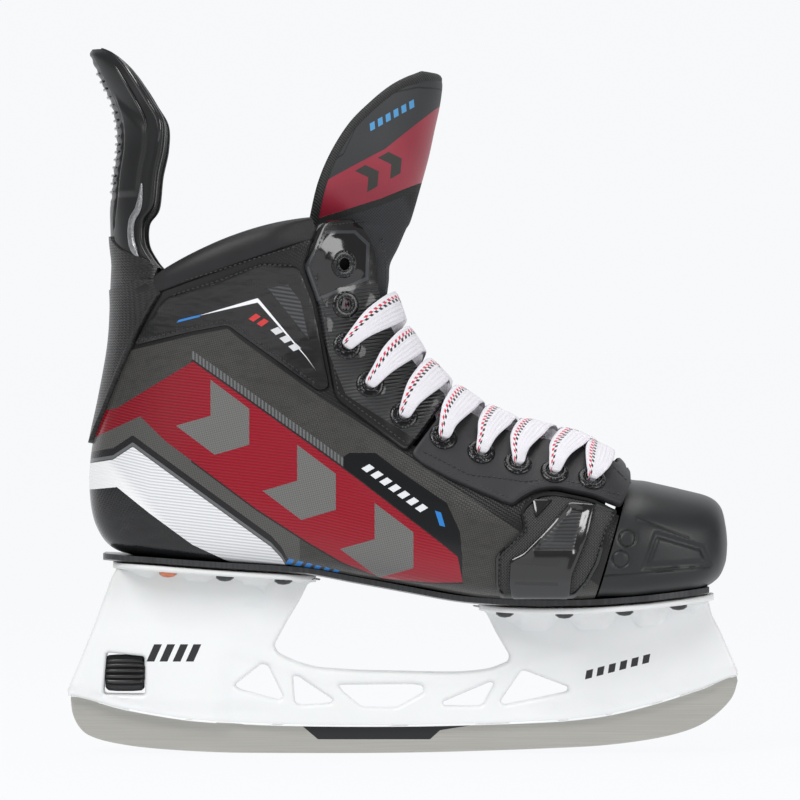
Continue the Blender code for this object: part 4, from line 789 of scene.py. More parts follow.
def quarter_skin():
    """Printed composite quarter: carbon weave, red and white ribbed fields, and plain chevrons and bars."""
    web = Finish("quarter_print")
    x, z = web.x, web.z
    red_top = web.line([(-145, 149.2), (-132.2, 150.3), (-124.7, 151.7), (-91.3, 171.9), (-36.7, 133.2),
                        (-20.9, 121.7), (16.5, 93.1), (23.5, 87.4), (26.8, 70.0)])
    red_low = web.line([(-145, 138.0), (-134.9, 138.9), (-114.4, 148.1), (-103.6, 137.6), (-64.0, 108.1),
                        (-40.7, 93.1), (-26.6, 84.8), (-9.0, 77.7), (13.0, 76.0), (26.8, 76.4)])
    white_top = web.line([(-145, 126.5), (-137.1, 127.5), (-126.5, 129.2), (-117.7, 134.9), (-57.4, 91.4),
                          (-53.0, 86.5), (-47.5, 76.0)])
    white_low = web.line([(-145, 115.0), (-137.5, 116.0), (-124.7, 117.3), (-110.2, 105.9), (-91.7, 92.3),
                          (-74.1, 83.9), (-56.0, 79.5), (-47.5, 78.0)])
    ankle = web.line([(-145, 171), (-118.6, 176.9), (-91.7, 183.1), (-76.3, 186.2), (-70.4, 181.1),
                      (-36.7, 156.6), (-20, 146.0), (30, 112.0)])
    black_top = web.line([(-30, 128.0), (-23.5, 132.3), (-12.1, 132.3), (-1.5, 124.4), (18.7, 110.7),
                          (24.4, 98.4), (26.0, 80.0)])
    red = (z < red_top) * (z > red_low) * (x < 26.6)
    rim = (z < red_top + 0.9) * (z > red_low - 0.7) * (x < 27.2) * (1 - red) * (x > -92)
    white = (z < white_top) * (z > white_low) * (x < -47.5)
    grey_line = (z < white_top + 1.9) * (z > white_top + 0.5) * (x < -47)
    dark_line = (z < white_top + 5.0) * (z > white_top + 1.9) * (x < -45)
    heel = (z < white_low) * (x < -47.5)
    black = (z > red_top + 0.5) * (z < black_top) * (x > -26) * (x < 25.4)
    hatch = (z > red_top + 0.9) * (z < red_top + 4.6) * (x > -92) * (x < -20)
    blue = web.inside([(13.6, 107.4), (15.6, 101.0), (18.0, 100.4), (16.2, 106.6)])
    u, v = x * 0.8 - z * 0.6, x * 0.6 + z * 0.8 - 68.5
    mark = web.chevrons(u, v, (-151.0, -104.0, -62.0), 5.5, 0.75, 10.5, 12.5) * red
    weave = web.weave(x + z * 0.25, z - x * 0.25, 0.95)
    fibre = web.noise(0.35, 3.0, (0.4, 1, 1))
    ribs = web.ribs(z + x * 0.16 + web.line([(-140, 0), (-110, 2.0), (-40, -1.5), (30, 3.0)]), 1.3)
    # sheen rises from 0 low on the quarter to 1 above; the pale band below it is a painted reflection of the
    # floor on the curved underside
    sheen = web.soft(z, 72.0, 98.0)
    carbon = web.mix(weave, tint(16, 16, 16), tint(70, 69, 66))
    carbon = web.mix(web.soft(fibre, 0.4, 0.75) * 0.4, carbon, tint(34, 34, 33))
    grey = web.mix(weave * 0.7, tint(46, 46, 46), tint(98, 97, 94))
    red_paint_and_painted_sheen = web.mix(ribs * 0.8, tint(98, 2, 16), tint(146, 8, 32))
    # painted shade: the red is darker towards the heel and brighter towards the toe, as the light falls
    red_paint_and_painted_sheen = web.mix(web.soft(x, -125.0, -70.0) * 0.35, red_paint_and_painted_sheen, tint(160, 10, 36))
    # painted reflection: a pale band along the bottom of the red field
    red_paint_and_painted_sheen = web.mix((1 - sheen) * 0.45, red_paint_and_painted_sheen, tint(150, 44, 58))
    colour = carbon
    colour = web.mix((x < -45) * (z < red_low) * (z > white_top), colour, grey)
    colour = web.mix(heel, colour, web.mix(fibre, tint(18, 18, 19), tint(34, 35, 36)))
    grooves = ribs * web.soft(x + z * 0.9, -16.0, -9.0)
    colour = web.mix(white, colour, web.mix(grooves, tint(228, 229, 230), tint(188, 190, 193)))
    colour = web.mix(dark_line, colour, tint(20, 20, 22))
    colour = web.mix(grey_line, colour, tint(96, 98, 100))
    colour = web.mix(hatch * web.ribs(x, 1.5), colour, tint(104, 106, 108))
    colour = web.mix(black, colour, tint(13, 14, 16))
    colour = web.mix(rim, colour, tint(26, 20, 22))
    colour = web.mix(red, colour, red_paint_and_painted_sheen)
    colour = web.mix(mark, colour, web.mix(weave, tint(66, 66, 65), tint(114, 114, 112)))
    colour = web.mix(blue, colour, tint(44, 120, 190))
    colour = web.mix(web.ticks((-16.5, 126.5), (10.5, 106.5), 7, 3.6), colour, tint(216, 218, 221))
    colour = web.mix(web.ticks((-50.5, 85.2), (-27.0, 79.6), 6, 2.6), colour, tint(44, 120, 190))
    colour = web.mix(z > ankle, colour, tint(16, 16, 17))
    rough = web.blend(red | black | heel, 0.34, 0.22)
    rough = web.blend(mark, rough, 0.46)
    height = weave * 0.5 * (1 - black) * (1 - red) * (1 - white) + ribs * red * (1 - mark) * 0.8
    height = height + ribs * white * 0.8 + mark * 0.9 + white * 0.7 + black * 0.5 + rim * 0.9
    return web.done(colour, rough, height, 0.09, coat=0.15, coat_rough=0.1, Specular_IOR_Level=0.35)


def cap_rubber():
    """Scuffed black rubber with moulded grooves."""
    web = Finish("toe_cap_rubber")
    scuff = web.noise(0.04, 3.0)
    colour = web.mix(scuff, tint(24, 25, 26), tint(38, 39, 40))
    grooves = []
    for x, z in CAP_RINGS:
        away = ((web.x - x) * (web.x - x) + (web.z - z) * (web.z - z)).step("SQRT")
        grooves.append(1 - web.soft(abs(away - CAP_RING_RADIUS), 0.15, 0.6))
    for start, end, _ in CAP_CREASES:
        crease = 1 - web.soft(abs(web.z - web.line([start, end])), 0.1, 0.6)
        grooves.append(crease * (web.x > start[0]) * (web.x < end[0]))
    groove = web.either(grooves)
    # painted shade: the moulded rings and creases are darkened where shade falls in them
    colour = web.mix(groove * 0.8, colour, tint(8, 8, 9))
    height = web.noise(2.2, 2.0) * 0.6 + web.cells(1.1) * 0.3 - groove * 3.0
    return web.done(colour, web.blend(scuff, 0.36, 0.48), height, 0.035, Specular_IOR_Level=0.4)


def mesh_cloth():
    """Open black mesh over the side panel's ground."""
    web = Finish("black_mesh")
    dots = web.weave(web.x + web.z, web.x - web.z, 1.25)
    colour = web.mix(dots, tint(8, 8, 9), tint(62, 62, 62))
    return web.done(colour, 0.6, dots, 0.3)


def patent():
    """Moulded gloss panel, ribbed in its middle."""
    web = Finish("moulded_gloss")
    ribbed = web.inside([(55.4, 90.2), (73.2, 90.2), (77.2, 106.8), (72.4, 107.9)])
    ribs = web.ribs(web.z, 1.55) * ribbed
    slots = (web.inside([(47.4, 86.9), (48.4, 84.6), (66.5, 83.6), (67.4, 85.8)])
             | web.inside([(48.0, 76.9), (48.0, 75.6), (66.7, 75.2), (66.7, 76.5)]))
    lower = web.soft(web.z, 79.0, 76.0) * 0.6
    colour = web.mix(ribs, tint(16, 16, 17), tint(48, 49, 51))
    colour = web.mix(lower, colour, tint(36, 37, 38))
    # painted shade: the two sunk slots are painted darker than the panel
    colour = web.mix(slots, colour, tint(6, 6, 7))
    height = ribs * 1.5 - slots * 3.0 + web.noise(0.08, 2.0) * 0.6
    return web.done(colour, web.blend(ribbed, 0.18, 0.34), height, 0.15, coat=0.6, coat_rough=0.05)


def collar_cloth():
    """Soft black leather with shallow folds."""
    web = Finish("collar_leather")
    fold = web.noise(0.09, 3.0, (1, 1, 2))
    colour = web.mix(fold, tint(18, 18, 19), tint(33, 33, 35))
    return web.done(colour, 0.5, leather_grain(web, 1.7) + fold * 1.5, 0.06, Specular_IOR_Level=0.35)


def strap_web(name="heel_strap_web", bends=False):
    """Woven heel strap."""
    web = Finish(name, bends)
    weave = web.weave(web.z + web.y * 0.6, web.z - web.y * 0.6, 1.2)
    colour = web.mix(weave, tint(8, 8, 9), tint(38, 38, 39))
    return web.done(colour, 0.4, weave, 0.16, coat=0.15, Specular_IOR_Level=0.35)


def felt(name, bends=False):
    """Black felt."""
    web = Finish(name, bends)
    fluff = web.noise(1.3, 5.0)
    colour = web.mix(fluff, tint(24, 24, 26), tint(48, 49, 51))
    return web.done(colour, 0.92, fluff + web.noise(0.15, 2.0), 0.25, Sheen_Weight=0.25, Sheen_Roughness=0.5)


def liner_cloth():
    """Brushed lining, quilted in slanting channels."""
    web = Finish("brushed_lining")
    one, two = (abs((value * (math.pi / 17.0)).step("SINE")) for value in (web.x + web.z, web.x - web.z))
    soft = web.soft(one & two, 0.0, 0.35)
    fluff = web.noise(1.6, 4.0)
    colour = web.mix(fluff, tint(34, 35, 37), tint(60, 61, 64))
    return web.done(colour, 0.9, soft * 2.0 + fluff * 0.5, 0.35, Sheen_Weight=0.3)


def tongue_cloth():
    """Black felt and mesh, with the red band, the grey top panel and a plain chevron mark."""
    web = Finish("tongue_felt", bends=True)
    x, z = web.x, web.z
    red_low = web.line([(-45, 231.8), (-35.9, 234.8), (-10.0, 243.0), (7.7, 250.5), (20, 256)])
    red_top = web.line([(-45, 243.0), (-31.0, 252.0), (-8.0, 264.4), (14.3, 282.8), (22, 289)])
    red = (z > red_low) * (z < red_top)
    trim = (z > red_low - 3.0) * (z < red_low)
    grey = z > red_top
    inlay = web.line([(-36, 256.0), (-26, 262.0), (-20, 275.0), (-8, 288.0), (6, 291.5), (20, 291.5)])
    crease = abs(z - inlay) < 0.35
    u, middle = x * 0.86 + z * 0.5, z * 0.86 - x * 0.5 - 224.4
    mark = web.chevrons(u, middle, (115.5, 127.0), 0.0, 0.7, 2.6, 5.2) * red
    weave = web.weave(x + z, x - z, 1.3)
    fluff = web.noise(1.4, 4.0)
    fine = web.noise(0.05, 2.0)
    colour = web.mix(weave, tint(18, 18, 20), tint(56, 57, 61))
    smooth_felt = web.mix(fluff, tint(20, 20, 21), tint(34, 34, 35))
    colour = web.mix(web.soft(x + z * 0.35, 84.0, 88.5), colour, smooth_felt)
    colour = web.mix(grey, colour, web.mix(fluff * 0.5, tint(38, 39, 41), tint(54, 55, 57)))
    colour = web.mix(trim, colour, tint(34, 35, 34))
    colour = web.mix(red, colour, web.mix(fine, tint(128, 26, 44), tint(152, 40, 58)))
    colour = web.mix(mark, colour, tint(40, 39, 36))
    # painted shade: the sunk crease along the inlay is painted dark
    colour = web.mix(crease * grey, colour, tint(14, 14, 15))
    colour = web.mix(web.ticks((-14.5, 273.6), (6.0, 285.4), 6, 3.0), colour, tint(70, 140, 190))
    rough = web.blend(red, web.blend(grey, 0.85, 0.6), 0.42)
    height = weave * 0.6 * (1 - grey) * (1 - red) + fluff * 0.35 * (1 - red)
    height = height + mark * 1.8 + trim * 1.4 - crease * grey * 2.0
    return web.done(colour, rough, height, 0.16)


def binding():
    """Ribbed knit binding."""
    web = Finish("ribbed_binding", bends=True)
    ribs = web.ribs(web.z * 1.0 + web.x * 0.8 + web.y * 0.3, 1.25)
    colour = web.mix(ribs, tint(16, 16, 17), tint(50, 51, 50))
    return web.done(colour, 0.7, ribs, 0.2)


def guard_rubber():
    """Smooth black moulded rubber."""
    web = Finish("guard_rubber")
    fine = web.noise(2.4, 3.0)
    colour = web.mix(web.noise(0.06, 3.0), tint(16, 16, 17), tint(30, 31, 32))
    return web.done(colour, 0.36, fine, 0.03, coat=0.1, coat_rough=0.12, Specular_IOR_Level=0.4)


def hard_gloss(name):
    """Black gloss trim."""
    web = Finish(name)
    colour = web.mix(web.noise(0.2, 2.0), tint(16, 16, 18), tint(30, 30, 32))
    return web.done(colour, 0.16, web.noise(0.5, 2.0), 0.03, coat=0.7, coat_rough=0.05)


def silver_inlay():
    """Rough silver trim."""
    web = Finish("silver_inlay")
    grain = web.noise(0.9, 4.0)
    colour = web.mix(grain, tint(96, 97, 98), tint(178, 180, 182))
    return web.done(colour, web.blend(grain, 0.25, 0.45), grain, 0.2, Metallic=0.8)


def eyelet_metal():
    """Black eyelet metal with a knurled lip."""
    web = Finish("black_eyelet_metal")
    knurl = web.cells(0.85)
    colour = web.mix(web.soft(knurl, 0.1, 0.5), tint(78, 80, 82), tint(14, 14, 16))
    return web.done(colour, 0.26, web.soft(knurl, 0.0, 0.6), 0.3, coat=0.4, Metallic=0.55)


def rivet_metal(name, dark, light):
    """Brushed rivet metal between two display colours."""
    web = Finish(name)
    brushed = web.noise(0.8, 3.0, (1, 0.2, 1))
    colour = web.mix(brushed, tint(*dark), tint(*light))
    return web.done(colour, web.blend(brushed, 0.28, 0.42), brushed, 0.04, Metallic=1.0)


def holder_nylon():
    """White moulded nylon with plain black marks on its towers."""
    web = Finish("white_nylon")
    shade = web.noise(0.03, 2.0)
    mark = web.ticks((-111.0, 44.3), (-88.0, 44.3), 4, 7.6) | web.ticks((80.0, 34.5), (110.0, 42.5), 6, 3.6)
    colour = web.mix(shade, tint(224, 226, 226), tint(234, 235, 235))
    # painted shade: the nylon darkens towards the top, where shade falls under the sole flanges
    colour = web.mix(web.soft(web.z, 56.0, 78.0) * 0.5, colour, tint(210, 211, 209))
    colour = web.mix(mark, colour, tint(34, 36, 38))
    grain = web.noise(0.9, 3.0)
    return web.done(colour, web.blend(shade, 0.34, 0.44), grain + mark * 0.5, 0.02, Subsurface_Weight=0.06,
                    Subsurface_Scale=0.003)


def runner_steel():
    """Ground stainless steel with a plain dark band."""
    web = Finish("ground_runner_steel")
    x, z = web.x, web.z
    brushed = web.noise(2.2, 4.0, (0.012, 1, 1))
    cloudy = web.noise(0.03, 2.0, (0.3, 1, 1))
    band_low = web.line([(-60, 12), (-49.1, 11.3), (-42.0, 9.5), (-37.6, 6.0), (11.7, 6.0), (16.1, 10.0),
                         (30.1, 12.2), (40, 14)])
    band = ((z > 6.0) * (z < 12.4) * (x * 0.19 + z + 2.0 > 0) * (z > 6.0 - (x + 37.6) * 0.85)
            * (z > band_low) * (x > -49.1) * (x < 30.1))
    colour = web.mix(brushed, tint(166, 165, 159), tint(200, 199, 193))
    colour = web.mix(cloudy * 0.5, colour, tint(188, 185, 177))
    colour = web.mix(band, colour, tint(24, 25, 27))
    rough = web.blend(band, web.blend(brushed, 0.3, 0.42), 0.35)
    metal = web.blend(band, 0.75, 0.0)
    return web.done(colour, rough, brushed * (1 - band) + band, 0.012, Metallic=metal)


def wheel_plastic():
    """Black moulded plastic."""
    web = Finish("lock_wheel_plastic")
    fine = web.noise(1.5, 3.0)
    return web.done(web.mix(fine, tint(14, 14, 15), tint(34, 34, 36)), 0.34, fine, 0.03, coat=0.2)


def lace_weave():
    """White flat lace with a red and a black tracer thread."""
    web = Finish("white_waxed_lace")
    map_ = web.node("ShaderNodeUVMap", {"uv_map": "UVMap"})
    split = web.node("ShaderNodeSeparateXYZ", {}, {0: map_})
    across, along = split, 100.0 * split.other("Y")
    knit = web.weave(along + across * 6.0, along - across * 6.0, 0.85)
    slant = along + across * 9.0
    dash = slant.step("PINGPONG", 1.6) > 0.8
    red = (across > 0.13) * (across < 0.235)
    black = (across > 0.235) * (across < 0.34)
    on_red, on_black = red * dash, black * (1 - dash)
    fluff = web.noise(1.6, 3.0)
    colour = web.mix(knit * 0.35 + fluff * 0.1, tint(232, 230, 235), tint(206, 204, 211))
    colour = web.mix(on_red, colour, tint(206, 32, 66))
    colour = web.mix(on_black, colour, tint(30, 28, 34))
    return web.done(colour, 0.85, knit + fluff * 0.5, 0.14, Sheen_Weight=0.2)


def thread():
    """Twisted black thread."""
    web = Finish("black_thread")
    twist = web.ribs(web.x + web.z * 0.7, 0.6)
    return web.done(web.mix(twist, tint(16, 16, 17), tint(48, 49, 51)), 0.5, twist, 0.05)


def sole_composite():
    """Black woven composite."""
    web = Finish("outsole_composite")
    weave = web.weave(web.x, web.y, 2.4)
    return web.done(web.mix(weave, tint(20, 20, 22), tint(42, 43, 45)), 0.32, weave, 0.05, coat=0.3)


def bolt_metal():
    """Brushed steel."""
    web = Finish("bolt_steel")
    brushed = web.noise(1.5, 3.0, (0.1, 1, 1))
    colour = web.mix(brushed, tint(120, 121, 124), tint(170, 171, 174))
    return web.done(colour, 0.35, brushed, 0.02, Metallic=1.0)


def footbed_foam():
    """Grey foam with small dimples."""
    web = Finish("footbed_foam")
    dots = web.cells(0.22)
    colour = web.mix(web.soft(dots, 0.2, 0.3), tint(70, 72, 76), tint(38, 39, 42))
    return web.done(colour, 0.85, web.soft(dots, 0.1, 0.4) + web.noise(1.2, 3.0) * 0.4, 0.2)


# ---------------------------------------------------------------- repeated pieces by Geometry Nodes
def scatter_group(name, shape):
    """A node group that sets one shape on every point of a mesh, turned by the points' own directions."""
    tree = bpy.data.node_groups.new(name, "GeometryNodeTree")
    tree.interface.new_socket("Geometry", in_out="INPUT", socket_type="NodeSocketGeometry")
    sizes = shape(None, None)
    for label in sizes:
        tree.interface.new_socket(label, in_out="INPUT", socket_type="NodeSocketFloat")
    tree.interface.new_socket("Finish", in_out="INPUT", socket_type="NodeSocketMaterial")
    tree.interface.new_socket("Geometry", in_out="OUTPUT", socket_type="NodeSocketGeometry")
    web = Web(tree)
    source = web.node("NodeGroupInput")
    made = shape(web, [source.other(label) for label in sizes])
    out, along = (web.node("GeometryNodeInputNamedAttribute", {"data_type": "FLOAT_VECTOR"}, {"Name": label})
                  for label in ("out", "along"))
    turn = web.node("FunctionNodeAlignRotationToVector", {"axis": "Z"}, {"Vector": out})
    turn = web.node("FunctionNodeAlignRotationToVector", {"axis": "X", "pivot_axis": "Z"},
                    {"Rotation": turn, "Vector": along})
    spots = web.node("GeometryNodeInstanceOnPoints", {},
                     {"Points": source.other("Geometry"), "Instance": made, "Rotation": turn})
    real = web.node("GeometryNodeRealizeInstances", {}, {"Geometry": spots})
    smooth = web.node("GeometryNodeSetShadeSmooth", {}, {"Geometry": real})
    painted = web.node("GeometryNodeSetMaterial", {},
                       {"Geometry": smooth, "Material": source.other("Finish")})
    web.node("NodeGroupOutput", {}, {"Geometry": painted})
    return tree


def squashed_ball(web, sizes):
    """A low ball, as a stitch or a rivet's head."""
    if web is None:
        return ("Length", "Width", "Height")
    length, width, height = sizes
    ball = web.node("GeometryNodeMeshUVSphere", {}, {"Segments": 8, "Rings": 5, "Radius": 0.5})
    scale = web.node("ShaderNodeCombineXYZ", {}, {"X": length, "Y": width, "Z": height})
    return web.node("GeometryNodeTransform", {}, {"Geometry": ball, "Scale": scale})


def two_rings(web, sizes):
    """An eyelet: a broad flange ring round a raised lip."""
    if web is None:
        return ("Flange", "Bore", "Height")
    flange, bore, height = sizes
    middle, wide = (flange + bore) * 0.5, (flange - bore) * 0.5
    parts = []
    for radius, thick, rise in ((middle, wide, 0.0), (bore + wide * 0.28, wide * 0.3, 0.35)):
        path = web.node("GeometryNodeCurvePrimitiveCircle", {}, {"Resolution": 28, "Radius": radius})
        profile = web.node("GeometryNodeCurvePrimitiveCircle", {}, {"Resolution": 12, "Radius": thick})
        swept = web.node("GeometryNodeCurveToMesh", {}, {0: path, 1: profile})
        lift = web.node("ShaderNodeCombineXYZ", {}, {"Z": height * rise})
        tall = height / thick * (0.5 if rise else 0.55)
        flat = web.node("ShaderNodeCombineXYZ", {}, {"X": 1.0, "Y": 1.0, "Z": tall})
        parts.append(web.node("GeometryNodeTransform", {},
                              {"Geometry": swept, "Translation": lift, "Scale": flat}))
    join = web.node("GeometryNodeJoinGeometry", {}, {0: parts[0]})
    web.feed(join.socket.node.inputs[0], parts[1])
    return join


def scattered(name, spots, group, sizes, finish, instead=(), slot=None):
    """One plain mesh of a repeated shape.  spots are places, outward directions and directions along."""
    mesh = bpy.data.meshes.new(name + "_points")
    place, out, along = (np.concatenate([s[k] for s in spots]) for k in range(3))
    mesh.from_pydata((MM * place).tolist(), [], [])
    store(mesh, "out", unit(out))
    store(mesh, "along", unit(along))
    source = bpy.data.objects.new(name + "_points", mesh)
    bpy.context.scene.collection.objects.link(source)
    modifier = source.modifiers.new("Scatter", "NODES")
    modifier.node_group = group
    for item in group.interface.items_tree:
        if item.in_out == "INPUT" and item.name in sizes:
            modifier[item.identifier] = MM * sizes[item.name]
        elif item.in_out == "INPUT" and item.name == "Finish":
            modifier[item.identifier] = finish
    source.update_tag()
    bpy.context.view_layer.update()
    graph = bpy.context.evaluated_depsgraph_get()
    plain = bpy.data.meshes.new_from_object(source.evaluated_get(graph))
    if not plain.vertices:
        raise RuntimeError(f"{name}: the node group made nothing")
    plain.name = name
    if not plain.materials:
        plain.materials.append(finish)
    bpy.data.objects.remove(source, do_unlink=True)
    return placed(name, plain, "boot", instead)


# ---------------------------------------------------------------- the boot
def build_toe_cap():
    """Moulded toe cap with its creases, rings and sunken panel."""
    stations = np.concatenate([np.linspace(0, 0.9, 16), np.linspace(1.0, CAP_END - 0.03, 96)])
    outer = np.array([ring(t, -math.pi, math.pi, 301)[:-1] for t in stations])
    normal = inward_of(outer, True)
    x, z = outer[..., 0], outer[..., 2]
    sideways = smooth_step(0.5, 0.85, np.abs(normal[..., 1]))
    depth = np.zeros_like(x)
    for cx, cz in CAP_RINGS:
        depth += 0.75 * np.exp(-((np.hypot(x - cx, z - cz) - CAP_RING_RADIUS) / 0.5) ** 2)
    frame_loop = np.array([(102.7, 81.7), (134.0, 83.5), (130.5, 91.8), (108.9, 98.4)])
    away, inside = from_rim(np.stack([x.ravel(), z.ravel()], axis=1), [frame_loop])
    signed = np.where(inside, away, -away).reshape(x.shape)
    depth += 1.0 * smooth_step(-0.6, 0.5, signed) - 0.8 * smooth_step(1.6, 3.0, signed)
    for (x0, z0), (x1, z1), deep in CAP_CREASES:
        dx, dz = x1 - x0, z1 - z0
        share = np.clip(((x - x0) * dx + (z - z0) * dz) / (dx ** 2 + dz ** 2), 0, 1)
        gap = np.hypot(x - x0 - share * dx, z - z0 - share * dz)
        depth += deep * np.exp(-(gap / 0.6) ** 2)
    lip = smooth_step(4.3, 4.97, np.broadcast_to(stations[:, None], x.shape))
    outer = outer + normal * (depth * sideways + 0.7 * lip)[..., None]
    inner = outer + CAP_WALL * inward_of(outer, True)
    inner[:8] = np.linspace(1, 0, 8)[:, None, None] * (0.7 * inner[8] + 0.3 * inner[8].mean(axis=0)) \
        + np.linspace(0, 1, 8)[:, None, None] * inner[8]
    return thick_sheet("toe_cap_moulding", outer, inner, cap_rubber(), closed=True, nose=True,
                       instead=("toe_cap",), slot="cap")


def build_quarter():
    """Rigid printed shell of the boot."""
    stations = np.concatenate([[CAP_END + 0.04], np.linspace(5.15, SHELL_END, 158)])
    outer = np.array([ring(t, -shell_edge(t), shell_edge(t), 221) for t in stations])
    inner = outer + SHELL_WALL * inward_of(outer)
    return thick_sheet("composite_quarter", outer, inner, quarter_skin(), instead=("quarter_shell",),
                       slot="shell")


def build_lining():
    """Quilted lining inside the shell."""
    stations = np.concatenate([np.arange(5.7, SHELL_END - 0.4, 0.22), [SHELL_END]])
    near = np.array([ring(t, -shell_edge(t), shell_edge(t), 121) for t in stations])
    normal = inward_of(near)
    depth = SHELL_WALL + 0.3
    t = stations[:, None, None]
    puff = 0.8 * np.abs(np.sin(t * 1.6)) * smooth_step(13, 15, t)
    share = np.abs(np.linspace(-1, 1, 121))[None, :, None]
    wall = (LINER_WALL + LINING_GAP + puff) * (1 - 0.6 * share ** 8)
    obj = thick_sheet("quilted_lining", near + depth * normal, near + (depth + wall) * normal, liner_cloth(),
                      instead=("ankle_liner",), slot="lining")
    return obj


def collar_row(share, tuck_out, deep):
    """Outer and inner points of the collar at a share of its height."""
    t = SHELL_END + 0.02 + share * (TOP_END - SHELL_END - 0.02)
    edge = shell_edge(t) + 0.1
    row = ring(t, -edge, edge, 201)
    inward = inward_of(np.array([ring(t - 0.05, -edge, edge, 201), row, ring(t + 0.05, -edge, edge, 201)]))[1]
    bump = 5.5 * share * np.sin(np.pi * np.clip((row[:, 0] + 107) / 78, 0, 1)) ** 0.8
    row[:, 2] += bump
    side = np.abs(np.linspace(-1, 1, 201))
    puffed = (smooth_step(0.12, 0.3, side) * smooth_step(0.97, 0.8, side))[:, None]
    out = puffed * tuck_out - (1 - puffed) * (0.5 + max(0.0, -tuck_out))
    return row - out * inward, row + deep * inward


def build_collar():
    """Padded collar: a rolled, puffed top on the shell."""
    depth = SHELL_WALL + LINING_GAP + LINER_WALL
    outer, inner = [], []
    for share, out, deep in ((0.0, 0.2, depth), (0.03, 1.0, depth + 0.3), (0.1, 1.5, depth + 0.6),
                             (0.25, 2.0, depth + 0.9), (0.42, 2.1, depth + 1.0), (0.58, 1.7, depth + 0.8),
                             (0.72, 1.0, depth + 0.2), (0.83, 0.1, depth - 0.8), (0.91, -1.0, depth - 2.0),
                             (0.97, -2.3, depth - 3.3)):
        a, b = collar_row(share, out, deep)
        outer.append(a)
        inner.append(b)
    obj = thick_sheet("collar_padding", np.array(outer), np.array(inner), collar_cloth(), smooth=60,
                      instead=("collar_pad",), slot="collar")
    return obj


def build_heel_strap():
    """Woven strap up the back of the boot."""
    stations = np.linspace(17.1, TOP_END - 0.1, 70)
    reach = np.interp(stations, [17.1, 17.3, 17.6, 19.94, 20.6, 20.9], [0.12, 0.26, 0.38, 0.98, 0.94, 0.8])
    outer = np.array([ring(t, -a, a, 81) for t, a in zip(stations, reach)])
    outward = -inward_of(outer)
    share = np.abs(np.linspace(-1, 1, 81))[None, :, None]
    wall = 1.9 - rim_drop((1 - share) * 30, 1.0) + 0.25 * (share > 0.9)
    return thick_sheet("heel_strap", outer - 0.2 * outward, outer + wall * outward, strap_web(),
                       instead=("back_strap",), slot="strap")


def build_facings():
    """Leather facings with real eyelet holes: gloss at the ankle, matt on the foot."""
    def throat(first, last, count):
        """Side-view points along the facings' free edge, between two sections."""
        t = np.linspace(first, last, count)
        return [(x, z) for x, _, z in form(t, -throat_angle(t))]

    upper = [(-23.5, 233.5), (-36.0, 233.0), (-43.6, 213.0), (-38.0, 197.9), (-30.0, 156.0), (-21.5, 149.5),
             (1.6, 132.0)]
    upper = rounded(upper + throat(9.55, 19.9, 30), 4.0)
    front = [(93.1, 129.2), (97.6, 124.3), (98.6, 118.8), (95.4, 111.0), (93.5, 108.6), (81.6, 113.2),
             (65.3, 116.6), (57.4, 115.5), (50.8, 112.2), (46.9, 109.2), (33.7, 114.7), (19.6, 120.9),
             (8.0, 127.2), (3.0, 131.4)]
    lower = rounded(front + throat(5.75, 9.45, 18)[::-1], 2.5)
    for (part, outline, finish, slot, rows) in (("upper", upper, gloss_leather(), "gloss_leather", range(5)),
                                                ("lower", lower, matt_leather(), "facing", range(5, 10))):
        sheets = []
        for side, _ in SIDES:
            holes = [circle(*EYELETS[k], EYELET_HOLE) for k in rows]

            def relief(x, z, depth, part=part):
                if part == "upper":
                    return 0.7 * smooth_step(3.6, 2.6, depth) * smooth_step(0.2, 1.0, depth)
                return 0.25 * smooth_step(3.0, 2.2, depth)

            sheets.append(laid([outline, *holes], side, -0.4, LAID + FACING_WALL, 1.0, 2.2, relief))
        piece(f"{part}_facings", *joined(sheets), finish, smooth=35, slot=slot,
              instead=tuple(f"{part}_facing_{word}" for _, word in SIDES))


def eyelet_seats(lift):
    """Places that far above the form at every eyelet, outer side first, and their outward directions."""
    on_form = [seen_from_side(x, z, side) for side, _ in SIDES for x, z in EYELETS]
    return [(spot + normal * lift, normal) for spot, normal in on_form]


def build_eyelets():
    """The eyelets of both sides."""
    seats = eyelet_seats(LAID + FACING_WALL + 0.35)
    place, out = (np.array([tuple(seat[k]) for seat in seats]) for k in (0, 1))
    spots = [(place, out, np.tile([1.0, 0.0, 0.0], (len(place), 1)))]
    group = scatter_group("eyelet_rings", two_rings)
    return scattered("eyelets", spots, group, {"Flange": 6.2, "Bore": 2.5, "Height": 1.5}, eyelet_metal(),
                     instead=[f"eyelet_{word}_{k + 1}" for _, word in SIDES for k in range(len(EYELETS))],
                     slot="eyelet")


def build_wraps():
    """Gloss wraps round the ankle."""
    outline = [(-103.5, 199.3), (-80.0, 206.5), (-61.4, 214.5), (-45.6, 213.0), (-39.6, 197.5),
               (-32.0, 160.5), (-36.7, 158.8), (-72.4, 184.6), (-76.3, 187.6), (-91.7, 184.6),
               (-117.0, 178.6)]
    outline = rounded(outline, 3.0)
    sheets = [laid([outline], side, -0.3, 1.6, 0.7, 2.6) for side, _ in SIDES]
    piece("ankle_wraps", *joined(sheets), wrap_leather(), smooth=35, slot="gloss_leather",
          instead=tuple(f"ankle_wrap_{word}" for _, word in SIDES))


